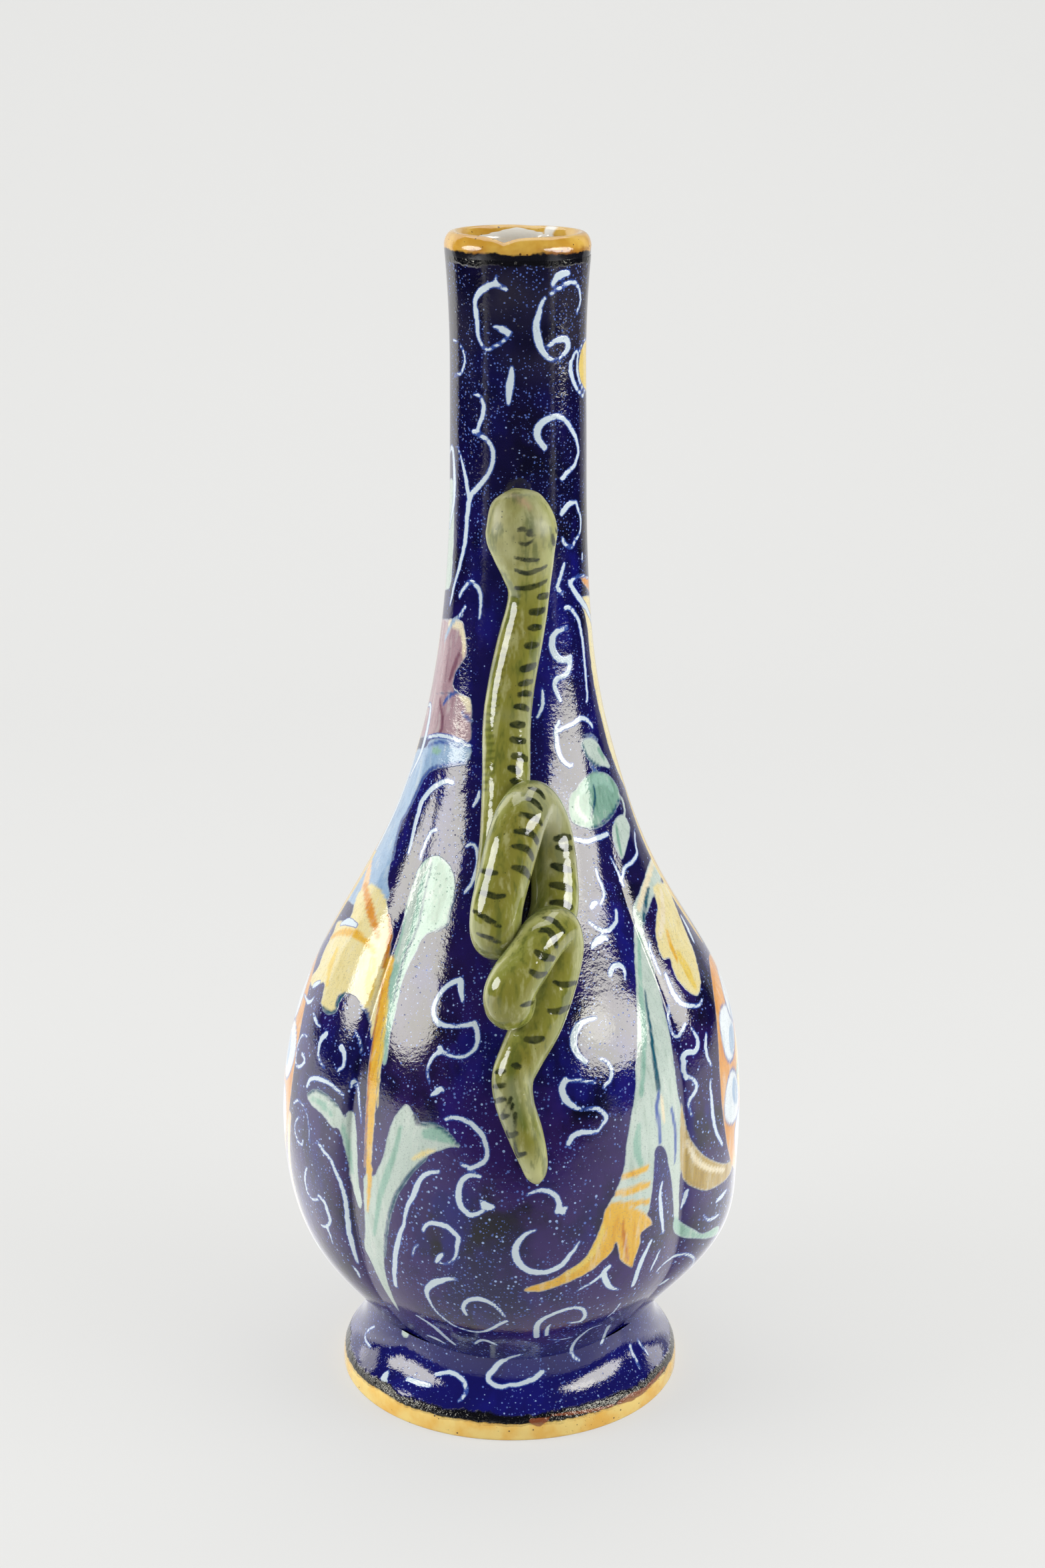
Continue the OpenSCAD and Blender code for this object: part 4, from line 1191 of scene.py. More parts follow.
    def wall(self) -> Material:
        """Return the glaze of the body, white inside."""
        wires = Wiring(self.name)
        colour, cover = self.painted(wires)
        black = self.band(wires, self.neck_line)
        colour = wires.mix(black, colour, self.black)
        lining = wires.mix(wires.span(wires.noise(70, 3), 0.35, 0.7), self.lining, self.lining_shade)
        colour = wires.mix(wires.value("inside"), colour, lining)
        return self.finish(wires, colour, cover, wires.times(black, 0.25))

    def foot(self) -> Material:
        """Return the glaze of the foot, with a black line and a yellow edge at the bottom."""
        wires = Wiring(self.name + "_foot")
        colour, cover = self.painted(wires)
        black = self.band(wires, self.foot_line)
        colour = wires.mix(black, colour, self.black)
        yellow = wires.mix(wires.span(wires.noise(130, 3), 0.35, 0.7), self.edge, self.edge_shade)
        yellow = wires.mix(wires.specks(420, 0.16, 0.8), yellow, self.pin_hole)
        level = wires.ragged_height(0.0022, 0.0010)
        colour = wires.mix(wires.span(level, *self.edge_top), colour, yellow)
        stain = wires.wobble(wires.value("dash"), (wires.noise(400, 2), 0.8))
        colour = wires.mix(wires.span(stain, 0.25, -0.15, 0, 0.85), colour, self.stain)
        clay = wires.mix(wires.noise(300, 3), self.clay, self.clay_shade)
        colour = wires.mix(wires.value("inside"), colour, clay)
        return self.finish(wires, colour, cover, black)


@dataclass(frozen=True)
class YellowGlaze:
    """Ochre-yellow glaze of the lip, brown where it runs thin, heights in metres."""

    name: str = "yellow_glaze"
    bright: Colour = rgba(0.74, 0.46, 0.085)
    deep: Colour = rgba(0.60, 0.31, 0.035)
    brown: Colour = rgba(0.10, 0.045, 0.012)
    milk: Colour = rgba(0.93, 0.91, 0.84)
    rust: Colour = rgba(0.22, 0.05, 0.012)
    black: Colour = rgba(0.006, 0.006, 0.010)
    rust_top: Point = (0.3670, 0.3654)
    black_top: Point = (0.3652, 0.3644)

    def material(self) -> Material:
        """Return the glaze of the lip."""
        wires = Wiring(self.name)
        colour = wires.mix(wires.span(wires.noise(150, 3), 0.35, 0.68), self.bright, self.deep)
        milk = wires.span(wires.wobble(wires.value("milk"), (wires.noise(160, 2), 0.5)), 0.35, 0.6)
        colour = wires.mix(milk, colour, self.milk)
        colour = wires.mix(wires.specks(420, 0.20, wires.maths("SUBTRACT", 0.8, milk)), colour, self.brown)
        level = wires.ragged_height(0.0030, 0.0014)
        rust = wires.times(wires.span(level, *self.rust_top), wires.span(wires.noise(60, 2), 0.36, 0.54))
        rust = wires.times(rust, wires.value("rust"))
        colour = wires.mix(wires.times(rust, 0.75), colour, self.rust)
        outer = wires.maths("SUBTRACT", 1, wires.value("inside"))
        colour = wires.mix(wires.times(wires.span(level, *self.black_top), outer), colour, self.black)
        wires.glaze(colour, 0.12, ((wires.noise(420, 3), 0.00008), (wires.noise(90, 2), 0.0003)))
        return wires.material


@dataclass(frozen=True)
class SnakeGlaze:
    """Olive-green glaze of the snakes with their dark dashes."""

    name: str = "green_glaze"
    dash: Colour = rgba(0.020, 0.027, 0.010)
    ochre: Colour = rgba(0.190, 0.162, 0.026)
    green: Colour = rgba(0.085, 0.110, 0.020)
    pale: Colour = rgba(0.46, 0.46, 0.21)
    milky: Colour = rgba(0.36, 0.37, 0.24)
    speck: Colour = rgba(0.05, 0.06, 0.02)

    def material(self) -> Material:
        """Return the glaze of a snake."""
        wires = Wiring(self.name)
        broad, middle, fine = wires.noise(60, 3), wires.noise(240, 3), wires.noise(1100, 2)
        streak = wires.wobble(wires.stretched((300, 300, 75), 3), (fine, 0.08))
        # the wash holds the skin's tints with its painted sheen, highlight and shade
        colour = wires.value("wash", "Color")
        colour = wires.mix(wires.span(broad, 0.44, 0.66, 0, 0.45), colour, self.ochre)
        colour = wires.mix(wires.span(streak, 0.50, 0.66, 0, 0.65), colour, self.green)
        colour = wires.mix(wires.span(streak, 0.48, 0.32, 0, 0.55), colour, self.pale)
        colour = wires.mix(wires.span(wires.noise(34, 2), 0.52, 0.66, 0, 0.45), colour, self.milky)
        colour = wires.mix(wires.specks(700, 0.16, wires.span(broad, 0.4, 0.65)), colour, self.speck)
        edge = wires.wobble(wires.value("dash"), (middle, 0.5), (fine, 0.5))
        thin = wires.span(wires.noise(420, 2), 0.35, 0.65, 0.80, 1.0)
        colour = wires.mix(wires.times(wires.span(edge, 0.45, -0.15), thin), colour, self.dash)
        rough = wires.span(wires.value("along"), 0.05, 0.085, 0.42, 0.05)
        wires.glaze(colour, rough, ((wires.noise(420, 3), 0.00006), (wires.noise(110, 2), 0.0003)))
        return wires.material


@dataclass(frozen=True)
class WhiteGlaze:
    """Milky glaze and bare clay under the foot."""

    name: str = "white_glaze"
    milk: Colour = rgba(0.70, 0.67, 0.58)
    clay: Colour = rgba(0.50, 0.42, 0.31)
    speck: Colour = rgba(0.08, 0.06, 0.05)

    def material(self) -> Material:
        """Return the glaze of the floor slab."""
        wires = Wiring(self.name)
        patch = wires.span(wires.noise(60, 4, 0.6), 0.40, 0.62)
        colour = wires.mix(patch, self.milk, self.clay)
        colour = wires.mix(wires.specks(450, 0.36, 0.8), colour, self.speck)
        wires.glaze(colour, wires.span(patch, 0, 1, 0.2, 0.6), ((wires.noise(400, 3), 0.0001),))
        return wires.material


def coordinates(piece: Piece) -> Array:
    """Return the vertices of a piece in millimetres."""
    flat = np.empty(len(piece.data.vertices) * 3, np.float32)
    piece.data.vertices.foreach_get("co", flat)
    return flat.reshape(-1, 3).astype(float) / MM


def vertex_normals(piece: Piece) -> Array:
    """Return the directions that the vertices of a piece face."""
    flat = np.empty(len(piece.data.vertices) * 3, np.float32)
    piece.data.vertices.foreach_get("normal", flat)
    return flat.reshape(-1, 3)


def place_vertices(piece: Piece, points: Array) -> None:
    """Move the vertices of a piece to places in millimetres."""
    piece.data.vertices.foreach_set("co", (points * MM).astype(np.float32).ravel())
    piece.data.update()


def sheet(name: str, columns: int, rows: int) -> tuple[Piece, Array, Array]:
    """Add a flat sheet of quads to be rolled into shape.

    Args:
        name: Name of the piece.
        columns: Quads across.
        rows: Quads up.

    Returns:
        The piece, and the column and row of each vertex.
    """
    bpy.ops.object.select_all(action="DESELECT")
    bpy.ops.mesh.primitive_grid_add(x_subdivisions=columns, y_subdivisions=rows, size=2)
    piece = bpy.context.object
    piece.name = piece.data.name = name
    flat = coordinates(piece) * MM
    bpy.ops.object.shade_smooth()
    return (piece, np.rint((flat[:, 0] + 1) / 2 * columns).astype(int),
            np.rint((flat[:, 1] + 1) / 2 * rows).astype(int))


def hoop(name: str, steps: int, section: Array) -> tuple[Piece, Array, Array]:
    """Add a torus whose round section is drawn out to another one.

    Args:
        name: Name of the piece.
        steps: Quads around the vase.
        section: Closed section, outside first and upwards, as rows of radius and height.

    Returns:
        The piece, the angle of each vertex and its number along the section.
    """
    count = len(section)
    bpy.ops.object.select_all(action="DESELECT")
    bpy.ops.mesh.primitive_torus_add(major_segments=steps, minor_segments=count,
                                     major_radius=1, minor_radius=0.2)
    piece = bpy.context.object
    piece.name = piece.data.name = name
    flat = coordinates(piece) * MM
    turn = bearing(flat)
    swing = np.arctan2(flat[:, 2], np.hypot(flat[:, 0], flat[:, 1]) - 1)
    number = np.rint(swing / (2 * math.pi) * count).astype(int) % count
    place_vertices(piece, around(turn, section[number, 0], section[number, 1]))
    bpy.ops.object.shade_smooth()
    return piece, turn, number


def close_up(piece: Piece) -> None:
    """Weld the seams of a rolled sheet and close its open ends."""
    bpy.ops.object.select_all(action="DESELECT")
    piece.select_set(True)
    bpy.context.view_layer.objects.active = piece
    bpy.ops.object.mode_set(mode="EDIT")
    bpy.ops.mesh.select_all(action="SELECT")
    bpy.ops.mesh.remove_doubles(threshold=WELD)
    bpy.ops.mesh.fill_holes(sides=0)
    bpy.ops.object.mode_set(mode="OBJECT")


def coat(piece: Piece, material: Material) -> None:
    """Make a material the only one of a piece."""
    piece.data.materials.clear()
    piece.data.materials.append(material)


def dress(piece: Piece, material: Material, nodes: Sequence[str]) -> None:
    """Give a piece its material and its place in the frame."""
    coat(piece, material)
    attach(piece, "root")
    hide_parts(*nodes)


def paint_strokes(strokes: Sequence[Stroke], drawing: Drawing,
                  brush: Callable[[Array, Array], None]) -> None:
    """Paint brush strokes on the front and, turned half round, on the back.

    Args:
        strokes: The strokes, each with its widths before its points.
        drawing: The way from the picture to the vase.
        brush: What takes each line and half its width.
    """
    for widths, *points in strokes:
        line, half = drawing.line(widths, tuple(points), drawing.on_vase)
        for spots in drawing.both_sides(line):
            brush(spots, half)


def paint_touches(art: Artwork, touches: Sequence[Touch], drawing: Drawing) -> None:
    """Paint touches of coloured glaze, two of them painted highlights, on the front and, turned half round,
    on the back.

    Args:
        art: The painting they go into.
        touches: The touches, in the order they are laid.
        drawing: The way from the picture to the vase.
    """
    for touch in touches:
        if touch.widths is None:
            edge = drawing.on_vase(through(np.array(touch.line, float), PICTURE_STEP, True))[0]
            for spots in drawing.both_sides(edge):
                art.fill(touch.paint, spots)
        else:
            line, half = drawing.line(touch.widths, touch.line, drawing.on_vase)
            for spots in drawing.both_sides(line):
                art.brush(touch.paint, spots, half, TOUCH_SPREAD)


class Side(Enum):
    """The two halves of the body, with the angle where each starts."""

    LEFT = -192.0
    RIGHT = -12.0

    @property
    def word(self) -> str:
        """The half's name in lower case."""
        return self.name.lower()


@dataclass
class Body:
    """The lobed body, in two halves that meet along the mould seam."""

    form: VaseForm
    drawing: Drawing
    columns: int = 240
    belly_step: float = 0.95
    neck_step: float = 1.35
    neck_from: float = 236
    inner_rows: int = 48
    front_half: float = 96
    back_share: float = 0.62
    inset: float = 0.1

    def levels(self) -> Array:
        """Return the heights of the rows outside, closer on the belly than on the neck."""
        line = self.form.outline()
        length = np.linalg.norm(np.diff(line, axis=0), axis=1)
        middle = (line[1:, 1] + line[:-1, 1]) / 2
        step = np.where(middle < self.neck_from, self.belly_step, self.neck_step)
        rows = np.concatenate([[0], np.cumsum(length / step)])
        return np.interp(np.linspace(0, rows[-1], int(rows[-1])), rows, line[:, 1])

    def turns(self, side: Side) -> Array:
        """Return the angles of the columns of a half, closer at the front than at the back."""
        fine = np.linspace(side.value, side.value + 180, 721)
        weight = np.where(np.abs(wrapped(fine)) < self.front_half, 1.0, self.back_share)
        share = np.concatenate([[0], np.cumsum((weight[1:] + weight[:-1]) / 2)])
        return np.interp(np.linspace(0, share[-1], self.columns + 1), share, fine)

    def skin(self, angle: Array, z: Array) -> Array:
        """Return points on the outside of the wall."""
        return around(angle, self.form.radius(angle, z), z)

    def normals(self, angle: Array, z: Array) -> Array:
        """Return the directions that the outside faces."""
        step = 0.05
        along = self.skin(angle + step, z) - self.skin(angle - step, z)
        rise = self.skin(angle, z + step) - self.skin(angle, z - step)
        facing = np.cross(along, rise)
        return facing / np.linalg.norm(facing, axis=1)[:, None]

    def roll(self, side: Side) -> Piece:
        """Roll one half: up the outside, over the rim, down the inside and back to the start."""
        levels, turns = self.levels(), self.turns(side)
        inner = np.linspace(self.form.lip_z, self.form.seat[1], self.inner_rows)
        rows = len(levels) + len(inner)
        piece, column, row = sheet(f"body_{side.word}", self.columns, rows)
        angle = turns[column]
        outside = row < len(levels)
        z = np.where(outside, levels[np.minimum(row, len(levels) - 1)],
                     np.concatenate([inner, levels[:1]])[np.clip(row - len(levels), 0, len(inner))])
        points = self.skin(angle, z)
        lining = ~outside & (row < rows)
        back = self.normals(angle[lining], z[lining]) * self.form.wall(z[lining])[:, None]
        points[lining] -= back
        points[lining, 2] = np.clip(points[lining, 2], self.form.seat[1], self.form.lip_z)
        place_vertices(piece, points)
        note(piece, "inside", lining)
        close_up(piece)
        return piece

    def paint(self, piece: Piece) -> None:
        """Paint the front of the vase, the same turned half round, and the two side panels."""
        art = Artwork(coordinates(piece))
        # the touches hold one painted highlight on the left lobe
        paint_touches(art, FRONT_TOUCHES_AND_HIGHLIGHT, self.drawing)
        SidePanel(self.drawing).paint(art)
        # the foot's strokes include two that are partly a painted highlight in the cove
        scrolls = NECK_SCROLLS + SHOULDER_SCROLLS + BELLY_SCROLLS + FOOT_SCROLLS_AND_HIGHLIGHTS
        paint_strokes(scrolls, self.drawing, art.scroll)
        art.store(piece)

    def build(self) -> list[Piece]:
        """Build, paint and dress both halves."""
        glaze = PaintedGlaze().wall()
        halves = []
        for side in Side:
            piece = self.roll(side)
            self.paint(piece)
            facing, outside = vertex_normals(piece), noted(piece, "inside") < 0.5
            spots = coordinates(piece)[outside]
            z = np.clip(spots[:, 2], self.form.seat[1] + self.inset, self.form.lip_z - self.inset)
            facing[outside] = self.normals(bearing(spots), z)
            piece.data.normals_split_custom_set_from_vertices(facing.tolist())
            dress(piece, glaze, [f"body_half_{side.word}"])
            halves.append(piece)
        return halves


@dataclass(frozen=True)
class SidePanel:
    """The orange medallion with its ring of egg petals on each side lobe, and the plume above it."""

    drawing: Drawing
    middle: Point = (84.0, 108)
    reach: Point = (20.0, 36)
    petals: int = 6
    first_petal: float = 137
    florets: int = 6
    plume: float = 87
    wall_r: float = 72

    def oval(self, share: float, count: int = 60) -> Array:
        """Return an oval around the middle of the medallion as angles and heights."""
        t = np.linspace(0, 2 * math.pi, count, endpoint=False)
        return np.column_stack([self.middle[0] + self.reach[0] * share * np.cos(t),
                                self.middle[1] + self.reach[1] * share * np.sin(t)])

    def egg(self, turn: float, share: float, size: Point) -> Array:
        """Return one egg petal that points outwards, as angles and heights."""
        t = np.linspace(0, 2 * math.pi, 20, endpoint=False)
        long, wide = size[0] * np.cos(t), size[1] * np.sin(t) * (1 - 0.25 * np.cos(t))
        degree = math.radians(1) * self.wall_r
        out = np.array([math.cos(turn) * self.reach[0] * degree, math.sin(turn) * self.reach[1]])
        out /= np.linalg.norm(out)
        centre = np.array([self.middle[0] + self.reach[0] * share * math.cos(turn),
                           self.middle[1] + self.reach[1] * share * math.sin(turn)])
        across, up = (long * out[0] - wide * out[1]) / degree, long * out[1] + wide * out[0]
        return centre + np.column_stack([across, up])

    def paint(self, art: Artwork) -> None:
        """Paint both side panels."""
        def fill(paint: Paint, chart: Array) -> None:
            """Fill an outline of angles and heights on both sides."""
            for side in self.drawing.both_sides(self.drawing.form.surface(*chart.T)):
                art.fill(paint, side)

        def brush(paint: Paint, widths: Sequence[float], *points: Point) -> None:
            """Lay a brush line of angles and heights on both sides."""
            line, half = self.drawing.on_wall(widths, points)
            for side in self.drawing.both_sides(line):
                art.brush(paint, side, half)

        fill(Paint.ORANGE, self.oval(1.0))
        for number in range(self.petals):
            turn = math.radians(self.first_petal + 360 * number / self.petals)
            fill(Paint.BLUE, self.egg(turn, 0.62, (8.8, 9.6)))
            fill(Paint.WHITE, self.egg(turn, 0.63, (8.0, 8.8)))
            fill(Paint.SKY, self.egg(turn, 0.50, (3.4, 5.4)))
        fill(Paint.YELLOW, self.oval(0.30))
        for number in range(self.florets):
            floret = self.egg(2 * math.pi * number / self.florets, 0.15, (5.0, 2.4))
            fill(Paint.LEAF_GREEN if number % 2 else Paint.OCHRE, floret)
        fill(Paint.MAUVE, self.oval(0.08))
        a = self.plume
        brush(Paint.PEACH, (2, 5, 3), (97, 42), (102, 58), (101, 76), (104, 96))
        for lean in (-2, 2):
            b = a + lean * 0.7
            brush(Paint.YELLOW, (3, 5, 3), (a, 150), (a + lean, 168), (a + lean, 190), (a + lean / 3, 216))
            brush(Paint.CREAM, (1, 2, 1), (a, 154), (b, 170), (b, 190), (a + lean / 4, 212))
        brush(Paint.OCHRE, (2, 3, 2), (a, 148), (a, 180), (a, 214))
        brush(Paint.YELLOW, (2, 3, 2), (a, 226), (a + 1, 252), (a - 1, 280))
        brush(Paint.PALE_GREEN, (2, 3, 2), (a, 288), (a + 1, 312), (a - 1, 336))
        brush(Paint.GREEN, (3, 9, 2), (92, 58), (100, 48), (108, 52))
        brush(Paint.WHITE, (1.2, 2, 1), (96, 204), (104, 214), (102, 226), (93, 226))
        brush(Paint.WHITE, (1, 2, 1), (98, 282), (110, 292), (106, 306), (92, 304))
        brush(Paint.WHITE, (1, 2, 1), (92, 42), (100, 36), (106, 40))


@dataclass
class Lip:
    """The rolled yellow lip with a small notch where the halves meet."""

    form: VaseForm
    steps: int = 320
    around_section: int = 40
    front_low: float = 0.5
    notch_turn: float = -15
    notch_share: Point = (0.8, 0.2)
    bubble_turn: float = 141
    bubble_size: Point = (3, 1.2)
    milk_turn: float = 178
    milk_line: Point = (6.3, 0.052)
    rust_turn: float = -8

    def section(self) -> Array:
        """Return the closed section, flush with the neck below and rolled above."""
        form = self.form
        middle, half = form.mouth_r - form.walls[1] / 2, form.walls[1] / 2
        t = np.linspace(0, 2 * math.pi, self.around_section, endpoint=False)
        wide = half + form.lip_bulge * smooth(np.sin(t) / 0.35)
        rise = np.where(np.sin(t) > -1e-6, form.lip_h * np.abs(np.sin(t)) ** form.lip_shape, 0.9 * np.sin(t))
        return np.column_stack([middle + wide * np.cos(t), form.lip_z + rise])

    def build(self) -> Piece:
        """Build and dress the lip."""
        form = self.form
        middle = form.mouth_r - form.walls[1] / 2
        piece, turn, _ = hoop("lip", self.steps, self.section())
        spots = coordinates(piece)

        def off(at: float) -> Array:
            """Return how many degrees each vertex lies from an angle."""
            return np.abs(wrapped(turn - at))

        mm = np.radians(middle)
        front, back = self.notch_share
        dip = front * form.notch[0] * np.exp(-(off(self.notch_turn) * mm / form.notch[1]) ** 1.3)
        dip += back * np.exp(-(off(self.notch_turn + 180) * mm / form.notch[1]) ** 2)
        dip += self.front_low * (0.5 + 0.5 * np.cos(np.radians(turn)))
        lift = spots[:, 2] - form.lip_z
        spots[:, 2] = np.where(lift > 0, form.lip_z + lift * (form.lip_h - dip) / form.lip_h, spots[:, 2])
        reach = np.hypot(spots[:, 0], spots[:, 1])
        inside = smooth((middle + 0.6 - reach) / 1.6)
        width, height = self.bubble_size
        bubble = inside * np.exp(-(off(self.bubble_turn) * mm / width) ** 2)
        bubble *= smooth((spots[:, 2] - form.lip_z - 2) / 2)
        spots[:, :2] *= (1 - height * bubble / reach)[:, None]
        place_vertices(piece, spots)
        line = form.lip_z + self.milk_line[0] - self.milk_line[1] * off(self.milk_turn)
        milk = np.maximum(inside * smooth((line - spots[:, 2]) / 0.8 + 0.5), 0.8 * bubble)
        rust = (1 - inside) * (0.25 + 0.75 * smooth((off(self.rust_turn) - 18) / 16))
        for name, values in (("inside", inside), ("milk", milk), ("rust", rust)):
            note(piece, name, values)
        dress(piece, YellowGlaze().material(), ["lip_left", "lip_right"])
        return piece


@dataclass
class Foot:
    """The spreading foot ring with its hollow underside."""

    form: VaseForm
    drawing: Drawing
    steps: int = 420
    rows: int = 66
    under_rows: int = 36
    hollow: Point = (47, 15)
    bore_step: float = 3.3

    def section(self) -> Pair:
        """Return the closed section, closer outside than below, and which points lie below."""
        form = self.form
        outer = evenly(form.foot_outline(), self.rows)
        groove = form.groove_depth * form.seat[0] / form.belly[0]
        bore = form.seat[0] - groove - form.walls[0] - self.bore_step
        wide, high = self.hollow
        under = np.array([(bore, form.seat[1]), (bore, high), (wide, high), (wide, 0), (outer[0, 0], 0)])
        under = evenly(np.vstack([outer[-1:], under]), self.under_rows)[1:-1]
        return np.vstack([outer, under]), np.arange(len(outer) + len(under)) > len(outer) + 3

    def build(self) -> Piece:
        """Build, paint and dress the foot."""
        section, below = self.section()
        piece, turn, number = hoop("foot", self.steps, section)
        spots, outer = coordinates(piece), number < self.rows
        z = spots[outer, 2]
        spots[outer] = around(turn[outer], self.form.foot_radius(turn[outer], z), z)
        place_vertices(piece, spots)
        art = Artwork(spots)
        # the touch on the foot ends in a painted highlight
        paint_touches(art, FOOT_TOUCHES_AND_HIGHLIGHT, self.drawing)
        # the foot's strokes include two that are partly a painted highlight in the cove
        scrolls = [s for s in FOOT_SCROLLS_AND_HIGHLIGHTS + BELLY_SCROLLS if max(p[1] for p in s[1:]) > FOOT_TOP_PX]
        paint_strokes(scrolls, self.drawing, art.scroll)
        paint_strokes(FOOT_STAINS, self.drawing, art.mark)
        art.store(piece)
        note(piece, "inside", below[number])
        dress(piece, PaintedGlaze().foot(), ["foot_ring"])
        return piece


# Stations of the snake: across the vase and down it in hundredths of the snake's length, how far the
# middle stands off the wall in radii, and the share of the full radius.
HEAD_ROUTE: tuple[tuple[float, float, float, float], ...] = (
    (-1, 1, .75, .08), (-.8, 2, .85, .6), (-.5, 3.5, .95, .82), (0, 6, 1, .98), (.2, 8, 1, 1),
    (.5, 10, 1, .9), (1, 13, .9, .74),
)
COIL_ROUTE: tuple[tuple[float, float, float, float], ...] = (
    (1.3, 16, .9, .87), (1, 19, .9, .86), (0, 23.5, .97, .93), (-1.3, 30, 1, .97), (-2, 36, 1, 1),
    (-2.1, 43, 1, 1), (-2.5, 51.5, 1, 1), (-3.3, 58, 1, 1), (-3.8, 62, 1.3, 1.02), (-4, 64, 2.05, 1.03),
    (-4.2, 62, 2.75, 1.06), (-3.9, 59, 2.98, 1.06), (-2.8, 55, 3.02, 1.06), (-1.5, 50.5, 2.98, 1.1),
    (-.2, 47.3, 2.8, 1.08), (1.4, 46.2, 2.1, 1.02), (3.2, 48.5, 1.4, .96), (4.4, 52.2, 1, .95),
    (4.9, 57, 1, .98), (4.8, 62, 1, 1), (3, 66.2, 1, 1), (.5, 70.2, 1, 1.03), (-1.3, 72.5, 1.35, 1.03),
    (-2.2, 73, 2.1, 1.03), (-2.4, 71, 2.72, 1.05), (-1.5, 68.8, 2.96, 1.04), (.3, 66.5, 2.97, 1),
    (2.5, 63.8, 2.85, 1), (4.5, 63.2, 2.25, 1), (5.4, 65.8, 1.65, 1), (4.9, 69, 1.3, 1.02),
    (3.5, 73, 1.05, 1.06), (1.8, 77, 1, 1.02), (-.5, 81, 1, .92), (-1.8, 84, 1, .86),
    (-1.5, 87.5, 1, .8), (0, 92, .83, .74),
    (1.2, 96, .74, .6), (1.6, 98.5, .72, .42), (1.8, 99.8, .68, .1),
)
# Edge of the snake's front strand that carries the ribs, and tints and painted sheen laid over the glaze with
# their softness
SNAKE_EDGE: Line = ((768, 884), (760, 930), (750, 980), (738, 1030), (729, 1078), (726, 1124), (725, 1184))
SNAKE_TINTS_AND_SHEEN: tuple[tuple[Paint, Triple, Line, float], ...] = (
    (Paint.SNAKE_GREEN, (8, 16, 10), ((826, 744), (838, 770), (842, 802)), 2.0),
    # pale left cheek of the head, partly a painted sheen
    (Paint.SNAKE_PALE, (14, 22, 12), ((752, 772), (757, 800), (768, 832)), 2.5),
    (Paint.SNAKE_GREEN, (6, 14, 8), ((764, 1590), (770, 1640), (786, 1690)), 2.5),
    # painted highlight: the pale streak down the right side of the tail
    (Paint.SNAKE_PALE, (4, 9, 4), ((786, 1600), (792, 1650), (800, 1700)), 1.5),
    (Paint.ROSE, (4, 8, 4), ((770, 742), (783, 751), (794, 761)), 1.2),
)


